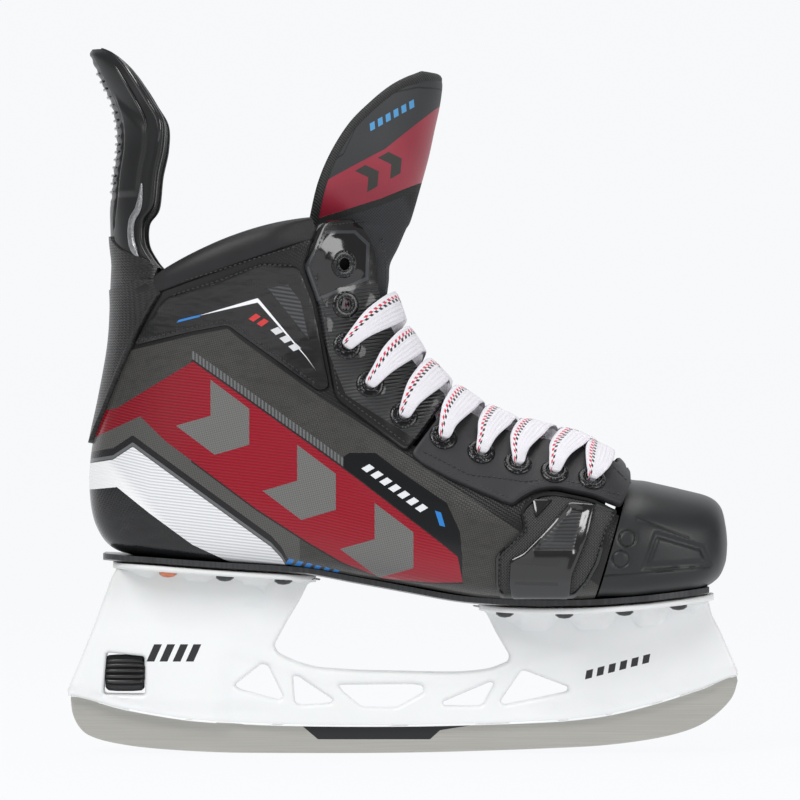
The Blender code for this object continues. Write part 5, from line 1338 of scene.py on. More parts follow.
def build_side_panels():
    """Mesh ground with a gloss moulding, a rim and a ribbed insert over it."""
    outline = [(52.0, 109.8), (50.2, 106.8), (51.7, 99.7), (39.6, 87.9), (40.0, 74.0), (42.0, 70.6),
               (74.0, 70.6), (79.4, 76.0), (84.2, 84.3), (88.6, 99.7), (92.6, 106.6), (81.6, 111.8),
               (65.3, 115.2), (57.8, 114.2)]
    inner = [(71.2, 110.3), (82.5, 109.2), (79.1, 95.9), (72.6, 79.8), (71.7, 71.2), (46.8, 71.2),
             (45.7, 77.1), (46.1, 86.5), (51.7, 89.2), (64.7, 102.2)]
    wedge = [(55.4, 111.8), (57.0, 103.6), (64.6, 111.6)]
    rim_loop = rounded(outline, 2.0)
    middle = np.mean(outline, axis=0)
    narrow = np.array(outline) + 2.0 * unit(middle - outline)
    insert = np.array([(54.2, 89.0), (74.4, 89.0), (78.9, 107.9), (71.9, 109.4)])

    def frame_relief(x, z, depth):
        away, inside = from_rim(np.stack([x, z], axis=1), [insert])
        dip = np.where(inside, smooth_step(0, 1.2, away), 0)
        return 0.5 * smooth_step(3.0, 1.8, depth) - 0.9 * dip

    grounds, glosses = [], []
    for side, _ in SIDES:
        grounds.append(laid([rim_loop], side, -0.3, 1.2, 0.5, 2.4))
        glosses.append(laid([rounded(inner, 1.6)], side, 0.4, 2.7, 1.1, 1.5, frame_relief))
        glosses.append(laid([rounded(wedge, 1.4)], side, 0.4, 2.2, 0.9, 1.6))
        glosses.append(laid([rim_loop, rounded(narrow, 2.0)], side, 0.4, 2.0, 0.8, 1.6, rims=(0.4,)))
    names = tuple(f"side_panel_{word}" for _, word in SIDES)
    piece("side_panel_mesh", *joined(grounds), mesh_cloth(), slot="side_panel", instead=names)
    return piece("side_panel_mouldings", *joined(glosses), patent(), smooth=35, slot="side_panel")


def build_outsole():
    """Composite plate under the boot with a rounded edge, and the removable footbed inside."""
    def half_width(x):
        """Half width of the plate at a distance along the boot."""
        return float(np.interp(x, [-133, -128, -118, -100, -60, -20, 20, 60, 90, 110, 125, 134, 138],
                               [9, 18, 25, 28, 27, 25.5, 30, 38, 38.5, 35, 29, 19, 9]))

    under, top = [], []
    for x in np.concatenate([[-131.5, -130.0, -127.0], np.linspace(-124, 126, 90), [129.0, 132.0, 133.5]]):
        low, wide = float(height_at(SOLE_LINE, x)), half_width(x)
        row_low, row_top = [], []
        for y in np.linspace(-wide, wide, 25):
            spot, _, _, _ = TREE.ray_cast(Vector((x, y, 20.0)), Vector((0, 0, 1)))
            high = min(max(spot.z + 0.4, low + 1.0), low + 3.2) if spot else low + 3.2
            row_low.append((x, y, low + 0.8 * (abs(y) / wide) ** 12))
            row_top.append((x, y, high))
        under.append(row_low)
        top.append(row_top)
    top = np.array(top)
    for _ in range(4):
        top[1:-1, :, 2] = (top[:-2, :, 2] + 2 * top[1:-1, :, 2] + top[2:, :, 2]) / 4
    thick_sheet("outsole_plate", np.array(under), top, sole_composite(), instead=("outsole",), slot="shell")
    stations = np.linspace(1.7, 12.9, 90)
    outer = np.array([ring(t, -0.62, 0.62, 41) for t in stations])
    normal = inward_of(outer)
    depth = SHELL_WALL + LINER_WALL + 2 * LINING_GAP + 0.5
    share = np.abs(np.linspace(-1, 1, 41))[None, :, None]
    from_end = np.minimum(stations - stations[0], stations[-1] - stations)[:, None, None]
    wall = 4.0 - rim_drop((1 - share) * 12, 1.6) - rim_drop(from_end * 8, 1.6)
    obj = thick_sheet("moulded_footbed", outer + depth * normal, outer + (depth + wall) * normal,
                      footbed_foam(), instead=("footbed",), slot="lining")
    return obj


# ---------------------------------------------------------------- tongue, lace and guard
def tongue_grid():
    """Outer points of the whole tongue."""
    rows = []
    for t in TONGUE_STATIONS:
        edge = math.pi - angle_along(t, shell_edge(t), 9.0)
        row = []
        for turn in np.linspace(-edge, edge, TONGUE_COLUMNS):
            here, outward = front_frame(t, turn if turn else 1e-6)
            share = smooth_step(0.62 * edge, 0.92 * edge, abs(turn))
            deep = 3.6 + (SHELL_WALL + LINING_GAP + LINER_WALL + 2.4 - 3.6) * share
            swell = 4.5 * np.interp(t, [11.5, 14.5], [0, 1]) * math.exp(-(turn / (0.38 * edge)) ** 2)
            row.append(here - outward * deep + np.array([swell, 0, 0]))
        rows.append(row)
    for front, height, wing, half, drop in TONGUE_TOP:
        reach = math.acos(max(-0.2, 1 - wing / TONGUE_CURL))
        turn = np.linspace(-reach, reach, TONGUE_COLUMNS)
        z = height - drop * (np.abs(turn) / reach) ** 2
        rows.append(np.stack([front - TONGUE_CURL * (1 - np.cos(turn)), half * np.sin(turn), z], axis=-1))
    return np.array(rows)


def bend_tongue(obj):
    """The tongue flexes over the top of the facings."""
    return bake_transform(obj)


def build_tongue():
    """Felt tongue in one piece from toe to top, and the binding round its free edge."""
    rows = finer(tongue_grid(), 150, 113)
    inward = inward_of(rows)
    if inward[110, 56, 0] > 0:
        inward = -inward
    share = np.abs(np.linspace(-1, 1, 113))[None, :, None]
    level = np.linspace(0, 1, 150)[:, None, None]
    puff = 1.1 * (1 - share ** 4) * smooth_step(0.55, 0.75, level) * smooth_step(1.0, 0.93, level)
    wall = TONGUE_WALL * (1 - 0.55 * share ** 3) * (1 - 0.65 * smooth_step(0.9, 1.0, level))
    wall = wall * (0.5 + 0.5 * smooth_step(0, 0.06, level))
    outer = rows - inward * puff * 0.35
    obj = thick_sheet("felt_tongue", outer, rows + inward * wall, tongue_cloth(),
                      back=felt("tongue_lining_felt", True), body=None, smooth=55)
    bend_tongue(obj)
    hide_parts("tongue", "tongue_top")
    start = 92
    mid = rows + inward * wall * 0.5
    path = np.concatenate([mid[start:149, 1], mid[149, 1:112], mid[start:149, 111][::-1]])
    out = np.concatenate([rows[start:149, 1], rows[149, 1:112], rows[start:149, 111][::-1]]) - path
    path = path + np.array([0, 0, -0.4])
    verts, faces = tube(path, 2.3, 12, 0.85, ups=out)
    edge = piece("tongue_binding", verts, faces, binding(), body=None, smooth=60)
    bend_tongue(edge)
    return obj


def lace_strand(seats, start_side):
    """Centre points, thickness directions and half widths of one strand, from the toe bar to its end."""
    path = []

    def lay(t, turn, height, half):
        """Adds a point above the form's front."""
        here, outward = front_frame(t, turn)
        path.append((here + outward * height, outward, half))

    def threaded(row, side):
        """Adds the points that take the lace down through an eyelet."""
        seat, outward = (np.array(v) for v in seats[row if side < 0 else row + len(EYELETS)])
        middle = front_frame(RAIL[row][0], side * 1e-3)[0] - seat
        towards = unit(middle - outward * np.dot(middle, outward))
        for level, half in ((2.8, 2.6), (0.8, 1.75), (-FACING_WALL - 1.4, 1.75)):
            path.append((seat + outward * level, towards, half))

    over = LAID + FACING_WALL + 0.9 + LACE_HALF_THICK
    under = LAID - 1.25 - LACE_HALF_THICK
    crossing = 2.9 if start_side < 0 else 1.2
    bottom = len(EYELETS) - 1
    side, half = start_side, 6.0
    t, turn = RAIL[bottom][0], math.pi - RAIL[bottom][1]
    for share, height, wide in ((0.02, 2.2, 1), (0.2, 2.6, 1), (0.38, over, 1), (0.62, over + 0.6, 1),
                                (0.86, over + 2.3, 0.8)):
        lay(t, side * turn * share, height, wide * half)
    threaded(bottom, side)
    for row in range(bottom, bottom - LACE_ROWS + 1, -1):
        (t0, a0), (t1, a1) = RAIL[row], RAIL[row - 1]
        first, last = side * (math.pi - a0), -side * (math.pi - a1)
        for share, height, wide in ((0.09, under - 0.4, 0.5), (0.17, under, 0.8), (0.29, under - 0.2, 0.9),
                                    (0.36, under, 0.9), (0.5, crossing, 1), (0.62, over + 0.3, 1.02),
                                    (0.69, over + 0.9, 1.05), (0.76, over + 1.2, 1.03),
                                    (0.87, over + 2.6, 0.86), (0.94, over + 2.9, 0.62)):
            along = np.clip((share - 0.1) / 0.8, 0, 1)
            lay(t0 + along * (t1 - t0), first + share * (last - first), height, wide * half)
        side = -side
        threaded(row - 1, side)
    last_row = bottom - LACE_ROWS + 1
    for share in np.linspace(0.15, 1, 6):
        t = RAIL[last_row][0] + share * 3.0
        angle = float(np.interp(t, RAIL[::-1, 0], RAIL[::-1, 1]))
        wide = 0.5 if share < 0.3 else 0.85
        lay(t, side * (math.pi - angle - 0.12 * min(1, 2 * share)), under - 0.15, wide * 5.3)
    return path


def build_lace():
    """One flat lace from end to end, woven along its own length."""
    seats = eyelet_seats(LAID + FACING_WALL)
    path = lace_strand(seats, -1)[::-1] + lace_strand(seats, 1)
    table = np.array([np.concatenate([p, u, [h]]) for p, u, h in path])
    fine = through(table, np.linspace(0, len(table) - 1, 5 * len(table)))
    spots, ups, halves = fine[:, :3], fine[:, 3:6], np.clip(1.08 * fine[:, 6], 1.7, 6.9)
    tangent = unit(np.gradient(spots, axis=0))
    across = unit(np.cross(tangent, ups))
    for k in range(1, len(across)):
        if np.dot(across[k], across[k - 1]) < 0:
            across[k] *= -1
    for _ in range(3):
        across[1:-1] = (across[:-2] + 2 * across[1:-1] + across[2:]) / 4
    across = unit(across)
    thick = np.cross(across, tangent)
    run = run_along(spots)
    count = 18
    turn = np.linspace(0, 2 * math.pi, count, endpoint=False)
    wide = np.sign(np.cos(turn)) * np.abs(np.cos(turn)) ** 0.6
    high = np.sign(np.sin(turn)) * np.abs(np.sin(turn)) ** 0.6 * (1 + 0.35 * (1 - np.abs(wide)))
    fat = LACE_HALF_THICK * np.interp(halves, [1.7, 4.0], [1.5, 1.0])
    grid = (spots[:, None] + across[:, None] * (halves[:, None] * wide[None])[..., None]
            + thick[:, None] * (fat[:, None] * high[None])[..., None])
    verts = grid.reshape(-1, 3)
    uv = np.stack(np.broadcast_arrays(0.5 + 0.5 * wide[None], run[:, None] / 100), axis=-1).reshape(-1, 2)
    piece("woven_lace", verts, capped(len(spots), count), lace_weave(), smooth=60, uv=uv, instead=("lace",),
          slot="lace")


def guard_grid(levels, count):
    """Outer points of the tendon guard, level by level: a U open to the front."""
    heights = np.array([row[0] for row in GUARD])
    rows = through(np.array(GUARD), np.interp(levels, heights, np.arange(len(GUARD))))
    grid = []
    for height, back, wing, half in rows:
        reach = math.acos(max(-0.3, 1 - wing / GUARD_CURL))
        turn = np.linspace(-reach, reach, count)
        x = back + GUARD_CURL * (1 - np.cos(turn))
        grid.append(np.stack([x, half * np.sin(turn), np.full(count, height)], axis=-1))
    return np.array(grid)


def build_guard_root():
    """Soft woven panel that ties the tendon guard's foot to the heel strap and bends between them."""
    count = 61
    low = ring(20.6, -0.9, 0.9, count)
    low = low + 1.6 * unit(low - low.mean(axis=0))
    levels = np.linspace(214.0, 227.0, 12)
    high = guard_grid(levels, 161)
    rows = [low, low + np.array([0.0, 0, 3.0])]
    share = np.abs(np.linspace(-1, 1, count))
    for k, row in enumerate(high):
        keep = 80 + np.linspace(-80, 80, count) * (1.0 - 0.7 * smooth_step(0.0, 1.0, k / 11))
        at = np.stack([np.interp(keep, np.arange(161), row[:, c]) for c in range(3)], axis=1)
        rows.append(at + 0.9 * unit((at + (95.0, 0, 0)) * (1, 1, 0)))
    grid = finer(np.array(rows), 44, count)
    inward = inward_of(grid)
    if inward[20, count // 2, 0] < 0:
        inward = -inward
    soft_edge = rim_drop((1 - share) * 14, 0.9)[None, :, None]
    obj = thick_sheet("guard_root_panel", grid + inward * soft_edge * 0.6, grid + inward * 1.5,
                      strap_web("guard_root_web", True), body=None, smooth=50)
    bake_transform(obj)
    return obj


def build_guard():
    """Moulded tendon guard with a ribbed back, side plates and gloss rims, and its felt pad."""
    levels = np.linspace(GUARD[0][0], GUARD[-1][0], 170)
    count = 121
    grid = guard_grid(levels, count)
    inward = inward_of(grid)
    if inward[60, count // 2, 0] < 0:
        inward = -inward
    share = np.abs(np.linspace(-1, 1, count))[None, :]
    z = levels[:, None]
    wave = 0.5 + 0.5 * np.sin(z * 2 * math.pi / 4.6)
    dip = 0.5 * smooth_step(0.36, 0.3, share) * wave * smooth_step(240, 244, z)
    plate = 1.0 * smooth_step(0.40, 0.46, share) * smooth_step(0.80, 0.74, share) * smooth_step(244, 247, z) \
        * smooth_step(290, 282, z + 40 * (share - 0.46))
    slot = 1.0 * np.exp(-((share - 0.36) / 0.025) ** 2) * smooth_step(228, 234, z) * smooth_step(280, 274, z)
    lip = 1.0 * smooth_step(0.90, 0.97, share)
    relief = (dip + slot - plate * 0.9 - lip * 0.7)[..., None]
    wall = GUARD_WALL * np.ones((len(levels), 1, 1))
    wall[-6:] *= np.linspace(1, 0.5, 6)[:, None, None]
    round_edge = rim_drop((1 - share) * 20, 1.2)[..., None]
    outer = grid + inward * (relief + round_edge)
    inner = grid + inward * (wall - 0.8 * round_edge)
    guard = thick_sheet("tendon_guard_moulding", outer, inner, guard_rubber(), body="guard", smooth=45,
                        instead=("tendon_guard",), slot="rubber")
    rims = []
    for column, first, last, radius in ((count - 4, 96, 162, 1.3), (3, 96, 162, 1.3),
                                        (count - 14, 104, 156, 0.8), (13, 104, 156, 0.8)):
        path = grid[first:last, column] - inward[first:last, column] * 0.2
        taper = np.sin(np.linspace(0.03, math.pi - 0.03, last - first)) ** 0.35
        rims.append(tube(path, radius * taper, 10, 0.8, ups=-inward[first:last, column]))
    piece("guard_gloss_rims", *joined(rims), hard_gloss("hard_gloss_trim"), body="guard", smooth=60,
          slot="gloss_leather")
    inlays = []
    for column in (count - 12, 11):
        path = grid[8:66, column] - inward[8:66, column] * 0.3
        inlays.append(tube(path, np.interp(np.arange(58), [0, 8, 40, 57], [0.6, 2.0, 1.6, 0.5]), 10, 0.5,
                           ups=-inward[8:66, column]))
    piece("guard_side_inlays", *joined(inlays), silver_inlay(), body="guard", smooth=60, slot="steel")
    backs = []
    part = slice(count // 2 - 16, count // 2 + 17)
    taper = np.sin(np.linspace(0, math.pi, 33)) ** 0.5
    for row in range(60, 151, 6):
        backs.append(tube(grid[row, part] - inward[row, part] * 0.1, 0.12 + 0.6 * taper, 8))
    piece("guard_back_ribs", *joined(backs), hard_gloss("guard_rib_gloss"), body="guard", smooth=60,
          slot="rubber")
    part = slice(14, count - 14)
    near = grid[10:-12, part] + inward[10:-12, part] * (GUARD_WALL - 0.1)
    width = np.abs(np.linspace(-1, 1, near.shape[1]))[None, :, None]
    level = np.linspace(0, 1, near.shape[0])[:, None, None]
    seam = 1.0 * np.exp(-((np.abs(width) - 0.45) / 0.05) ** 2)
    ends = smooth_step(-0.02, 0.07, level) * smooth_step(1.02, 0.93, level)
    thick = (GUARD_PAD_WALL + 1.4) * (1 - 0.75 * width ** 4) * ends
    pad = thick_sheet("guard_felt_pad", near, near + inward[10:-12, part] * np.maximum(thick - seam, 0.5),
                      felt("guard_pad_felt"), body="guard", smooth=60, instead=("tendon_pad",), slot="felt")
    return guard


# ---------------------------------------------------------------- holder, runner and lock
ARCH = [(-41.0, 77.0), (-45.0, 68.0), (-49.9, 60.1), (-57.0, 47.2), (-55.0, 43.8), (-48.2, 40.6),
        (-38.5, 37.6), (-20.0, 36.4), (-1.5, 36.0), (15.0, 35.6), (27.1, 35.7), (38.1, 37.0), (46.0, 40.2),
        (46.6, 43.0), (40.0, 54.0), (35.5, 63.9)]
WINDOWS = (
    [(-62.3, 39.4), (-74.4, 29.8), (-72.0, 27.9), (-54.6, 23.3), (-52.9, 25.0), (-59.5, 38.6)],
    [(-48.6, 33.7), (-47.6, 22.0), (-45.4, 21.2), (-32.0, 22.0), (-31.0, 23.6), (-46.5, 33.9)],
    [(-28.6, 30.0), (-27.0, 27.3), (-18.4, 20.4), (-3.3, 20.0), (8.8, 26.6), (8.6, 29.6), (4.0, 30.4)],
    [(17.4, 22.6), (38.2, 31.4), (39.8, 30.4), (35.0, 21.6), (33.2, 20.8), (17.8, 20.8)],
    [(51.8, 36.2), (53.6, 36.2), (72.4, 29.2), (72.0, 26.9), (44.0, 21.2), (42.6, 22.8)],
)


def holder_depth(x, z):
    """Half thickness of the blade holder at points of its side view."""
    half = np.interp(z, [8, 28, 44, 58, 68, 76, 86], [4.4, 5.0, 6.0, 8.0, 10.0, 12.5, 15.0])
    heel = smooth_step(-74, -84, x) * smooth_step(66, 52, z)
    half = np.maximum(half, half + (7.6 - half) * heel)
    above = z - np.interp(x, RAIL_LINE[:, 0], RAIL_LINE[:, 1])
    tower = smooth_step(-50, -66, x) + smooth_step(52, 66, x)
    ridge = np.interp(x, [-147, -90, -62, 0, 62, 92, 147], [3, 5, 7, 5, 7, 6, 3])
    half = half + 1.1 * tower * smooth_step(ridge, ridge + 1.6, above)
    chord = np.interp(x, [-80, -57, -38, 0, 38, 56, 80], [47, 41, 33.5, 32.6, 33.2, 39, 46])
    return half + 0.7 * np.exp(-((z - chord) / 2.2) ** 2) * smooth_step(-84, -74, x) * smooth_step(84, 74, x)


def build_holder():
    """White blade holder: towers and trussed bridge with rounded edges, and filleted rivet flanges."""
    rear = [(-147.6, 27.6), (-141.5, 42.1), (-136.2, 55.3), (-132.2, 65.9), (-128.0, 77.0), (-125.5, 81.6)]
    front = [(134.0, 66.3), (135.3, 61.0), (139.0, 54.0), (142.5, 46.0), (146.7, 36.8)]
    sole_rear = [(x, float(height_at(SOLE_LINE, x)) - 1.55) for x in (-110.0, -85.0, -60.0, -44.0)]
    sole_front = [(x, float(height_at(SOLE_LINE, x)) - 1.55) for x in (40.0, 60.0, 85.0, 110.0, 130.0)]
    under = [(x, float(height_at(RAIL_LINE, x))) for x in np.linspace(-147.0, 146.9, 60)]
    arch = rounded(ARCH, 6.0)[::-1]
    outline = under + front[::-1] + sole_front[::-1] + [tuple(p) for p in arch] + sole_rear[::-1] + rear[::-1]
    x, z, radius, length = WHEEL
    pocket = np.array([(x - length / 2 - 0.8, z - radius - 1), (x + length / 2 + 0.6, z - radius - 1.2),
                       (x + length / 2 + 0.6, z + radius - 0.6), (x - length / 2 + 0.6, z + radius + 1.2)])
    loops = [np.array(outline), rounded(pocket, 1.6)] + [rounded(w, 1.8) for w in WINDOWS]
    points, faces, depth, rim = flat_mesh(loops, 2.6, rims=(0.3, 0.8, 1.5, 2.4), spacing=1.4)
    half = holder_depth(points[:, 0], points[:, 1])
    bottom = np.abs(points[:, 1] - np.interp(points[:, 0], RAIL_LINE[:, 0], RAIL_LINE[:, 1])) < 0.25
    half = half - rim_drop(np.where(bottom, 1.5, depth), 1.9)
    low = np.stack([points[:, 0], -half, points[:, 1]], axis=1)
    high = low * (1, -1, 1)
    parts = [solid_between(low, high, faces, rim)]
    for first, last, widths in ((-127.4, -38.5, ([-100, -50], [27.5, 24.5])),
                                (33.2, 136.2, ([40, 70, 95, 130], [31, 37.5, 37, 27]))):
        rivets = RIVETS["heel" if first < 0 else "toe"]
        rows = []
        close = np.array([0, 0.8, 2, 4])
        for at in np.concatenate([first + close, np.linspace(first + 6, last - 6, 84), last - close[::-1]]):
            end = min(1.0, max(0.0, min(at - first, last - at) / 16.0))
            full = np.interp(at, *widths) * math.sqrt(max(0.0, 1 - (1 - end) ** 2) * 0.93 + 0.07)
            top = float(height_at(SOLE_LINE, at)) - 0.35
            inset = min(1.0, min(abs(at - r[0]) for r in rivets) / 8.5)
            inner = smooth_step(1.0, 15.0, min(at - first, last - at))
            wide = min(full - 3.0, 7.5 + 3.0 * inset)
            fillet = inner * (3.0 + (5.0 if first < 0 else 2.0) * smooth_step(0.35, 1.0, inset))
            step = max(full - wide, 2.0)
            rows.append([(at, y, top - d) for y, d in (
                (wide, 2.9 + fillet * 1.6), (wide + 0.04 * step, 2.85 + fillet),
                (wide + 0.16 * step, 2.8 + 0.45 * fillet), (wide + 0.38 * step, 2.7 + 0.15 * fillet),
                (wide + 0.6 * step, 2.75), (full - 1.2, 2.6), (full - 0.3, 2.2), (full, 1.5), (full, 0.9),
                (full - 0.35, 0.3), (full - 1.2, 0.0), (0.5 * full, 0.0))])
        rows = np.array(rows)
        loop = np.concatenate([rows, (rows * (1, -1, 1))[:, ::-1]], axis=1)
        parts.append((loop.reshape(-1, 3), capped(*loop.shape[:2])))
    piece("blade_holder_moulding", *joined(parts), holder_nylon(), smooth=50, instead=("blade_holder",),
          slot="holder")


def build_rivets():
    """Domed rivet heads under the flanges, the rearmost pair in copper."""
    group = scatter_group("rivet_heads", squashed_ball)
    heads = {"copper": [], "dark": []}
    for end in ("heel", "toe"):
        for k, (x, y) in enumerate(RIVETS[end]):
            for side, word in SIDES:
                number = k + 1 + (len(RIVETS["heel"]) if end == "toe" else 0)
                kind = "copper" if number == 1 else "dark"
                z = float(height_at(SOLE_LINE, x)) - 3.2
                heads[kind].append((x, side * y, z, f"rivet_{end}_{word}_{number}"))
    for kind, finish in (("copper", rivet_metal("copper_rivet", (186, 104, 76), (226, 150, 118))),
                         ("dark", rivet_metal("blackened_rivet", (52, 54, 54), (92, 94, 94)))):
        place = np.array([h[:3] for h in heads[kind]])
        down, ahead = (np.tile(way, (len(place), 1)) for way in ([0.0, 0.0, -1.0], [1.0, 0.0, 0.0]))
        spots = [(place, down, ahead)]
        scattered(f"rivets_{kind}", spots, group, {"Length": 8.2, "Width": 8.2, "Height": 4.2}, finish,
                  instead=tuple(h[3] for h in heads[kind]), slot="copper" if kind == "copper" else "rivet")


def build_runner():
    """Ground steel runner with fine chamfers, its tang and tab."""
    xs = np.linspace(-145.6, 145.4, 60)
    embed = np.interp(xs, [-112, -108], [2.8, 5.5])
    top = [(x, float(height_at(RAIL_LINE, x)) + e) for x, e in zip(xs, embed)]
    edge = [tuple(p) for p in through(EDGE_LINE, np.linspace(0, len(EDGE_LINE) - 1, 120))]
    points, faces, depth, rim = flat_mesh([np.array(edge + top[::-1])], 6.0, rims=(0.3, 0.8), spacing=2.0)
    half = RUNNER_HALF - 0.35 * (1 - smooth_step(0.0, 0.32, depth))
    low = np.stack([points[:, 0], -half, points[:, 1]], axis=1)
    blade = solid_between(low, low * (1, -1, 1), faces, rim)
    tabs = []
    for first, last, base, high in ((-102.4, -88.4, 14.0, 45.6), (97.0, 113.0, 16.0, 36.0)):
        loops = [rounded([(first, base), (last, base), (last, high), (first, high)], 3.0)]
        if first < 0:
            turn = np.radians(np.arange(135, 316, 20))
            arc = CAM_SLOT_RADIUS * np.stack([np.cos(turn), np.sin(turn)], axis=1)
            low = np.array([CROSS_PIN_X, WHEEL[1]])
            loops.append(np.concatenate([low + arc, low + RUNNER_DROP - arc]))
        points, faces, depth, rim = flat_mesh(loops, 4.0, rims=(0.3,), spacing=2.0)
        low = np.stack([points[:, 0], np.full(len(points), -RUNNER_HALF + 0.05), points[:, 1]], axis=1)
        tabs.append(solid_between(low, low * (1, -1, 1), faces, rim))
    return piece("steel_runner", *joined([blade, *tabs]), runner_steel(), body="runner_unit", smooth=35,
                 instead=("runner",), slot="steel")


def build_lock():
    """Ribbed lock wheel with rounded ribs, and the bolt it drives."""
    x, z, radius, length = WHEEL
    count = WHEEL_RIBS * 8
    turn = np.linspace(0, 2 * math.pi, count, endpoint=False)
    wave = 0.5 + 0.5 * np.cos(turn * WHEEL_RIBS)
    outer = radius - 1.3 * wave ** 2
    rows = []
    profile = [(at, outer - drop) for at, drop in ((-0.5, 1.6), (-0.47, 0.9), (-0.42, 0.3), (-0.2, 0.0),
                                                   (0.2, 0.0), (0.42, 0.3), (0.47, 0.9), (0.5, 1.6))]
    for at, r in profile + [(at, 3.4) for at in (0.5, 0.49, -0.49, -0.5)]:
        ends = np.full(count, x + at * length)
        rows.append(np.stack([ends, r * np.cos(turn), z + r * np.sin(turn)], axis=1))
    rows = np.array(rows)
    n = len(rows)
    last = (n - 1) * count
    faces = quads(n, count, True)
    faces += [(last + j, j, (j + 1) % count, last + (j + 1) % count) for j in range(count)]
    piece("ribbed_lock_wheel", rows.reshape(-1, 3), faces, wheel_plastic(), body="wheel", smooth=50,
          instead=("lock_wheel",), slot="rubber")
    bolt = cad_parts["lock_bolt"]
    bolt.data.materials.clear()
    bolt.data.materials.append(bolt_metal())


def stitch_lines():
    """Side-view lines of every visible seam: points, stitch pitch and height above the form."""
    upper_edge = [(-16.0, 229.5), (-22.5, 231.4), (-34.6, 230.6), (-41.2, 213.2), (-35.8, 197.6),
                  (-28.2, 157.6), (-20.8, 152.0), (0.6, 136.0)]
    upper_front = [(-12.0, 226.5), (-10.0, 215.0), (-10.0, 197.0), (-9.5, 186.0)]
    lower_top = [(7.3, 132.8), (28.2, 122.0), (43.3, 120.0), (52.0, 118.6), (66.0, 119.6), (80.0, 116.4),
                 (94.0, 112.2)]
    lower_low = [(7.3, 127.5), (19.6, 120.9), (33.7, 114.7), (46.9, 109.2), (51.3, 112.3), (57.4, 115.4),
                 (65.3, 116.6), (81.6, 113.2), (93.5, 108.4)]
    front = [(100.6, 119.9), (98.3, 125.2), (93.1, 130.0)]
    panel = [(51.6, 107.2), (53.2, 99.4), (41.4, 87.4), (41.8, 72.5)]
    panel_front = [(91.2, 106.2), (87.0, 99.4), (82.6, 84.4), (76.8, 73.5)]
    wrap_low = [(-114.6, 180.6), (-91.7, 186.4), (-76.3, 189.8), (-71.6, 186.4), (-37.4, 161.6)]
    wrap_top = [(-100.8, 200.4), (-80.0, 207.0), (-61.4, 214.0), (-47.0, 213.5)]
    collar = [(-101.5, 205.0), (-80.0, 211.4), (-61.4, 217.4), (-46.0, 222.0)]
    facing = LAID + FACING_WALL
    return ((upper_edge, 2.2, facing + 0.55), (upper_front, 2.2, facing + 0.2),
            (lower_top, 2.3, facing + 0.1), ([(x - 0.3, z + 2.2) for x, z in lower_low], 2.3, facing + 0.1),
            (front, 2.3, facing), (panel, 2.3, 2.1), (panel_front, 2.3, 2.1), (wrap_low, 2.2, 1.65),
            (wrap_top, 2.2, 1.65), (collar, 2.2, 1.2))


def build_stitches():
    """Every seam's stitches, one small bead each."""
    spots = []
    for side, _ in SIDES:
        for line, pitch, lift in stitch_lines():
            found = stitch_path(line, pitch, side, lift)
            if len(found[0]):
                spots.append(found)
    group = scatter_group("seam_stitches", squashed_ball)
    return scattered("seam_stitches", spots, group, {"Length": 1.7, "Width": 0.75, "Height": 0.6}, thread())


def build_stage(settings):
    """Pale floor and backdrop in one sweep, soft lamps and the camera."""
    reach, rows = 6.0, []
    for a, b in ((-reach, 0.0), (2.2, 0.0), (2.9, 0.2), (3.3, 0.7), (3.4, 1.6), (3.4, 5.0)):
        rows.append([(x, a, b - 0.0002) for x in (-reach, reach)])
    grid = np.array(rows).reshape(-1, 3)
    mesh = bpy.data.meshes.new("studio_floor")
    faces = [(2 * i, 2 * i + 1, 2 * i + 3, 2 * i + 2) for i in range(len(rows) - 1)]
    mesh.from_pydata(grid.tolist(), [], faces)
    web = Finish("pale_floor")
    web.done(tint(60, 60, 62), 0.9, Specular_IOR_Level=0.0, Emission_Color=tint(*settings.floor_colour),
             Emission_Strength=settings.floor_glow)
    mesh.materials.append(web.material)
    floor = bpy.data.objects.new("studio_floor", mesh)
    bpy.context.scene.collection.objects.link(floor)
    world = bpy.context.scene.world or bpy.data.worlds.new("studio")
    bpy.context.scene.world = world
    world.use_nodes = True
    backdrop = world.node_tree.nodes["Background"]
    backdrop.inputs["Color"].default_value = (*tint(249, 250, 252), 1.0)
    backdrop.inputs["Strength"].default_value = settings.ambient
    for name, place, size, power in (("key_lamp", (-0.8, -1.5, 1.5), 1.0, settings.key_power),
                                     ("fill_lamp", (1.6, -1.4, 0.7), 0.9, 0.45 * settings.key_power),
                                     ("top_lamp", (0.1, 0.1, 2.0), 1.2, 0.5 * settings.key_power)):
        lamp = bpy.data.lights.new(name, "AREA")
        lamp.size, lamp.energy = size, power
        obj = bpy.data.objects.new(name, lamp)
        obj.location = place
        obj.rotation_euler = (Vector(AIM) - Vector(place)).to_track_quat("-Z", "Y").to_euler()
        bpy.context.scene.collection.objects.link(obj)
    data = bpy.data.cameras.new("catalogue_camera")
    data.lens, data.sensor_width, data.clip_end = SENSOR * -CAMERA[1] / settings.frame_width, SENSOR, 50
    camera = bpy.data.objects.new("catalogue_camera", data)
    camera.location = CAMERA
    camera.rotation_euler = (math.pi / 2, 0, 0)
    bpy.context.scene.collection.objects.link(camera)
    bpy.context.scene.camera = camera
    bpy.context.scene.view_settings.view_transform = "Standard"


TREE = form_tree()
RAIL = np.array([nearest_on_form(seen_from_side(x, z, -1)[0]) for x, z in EYELETS])


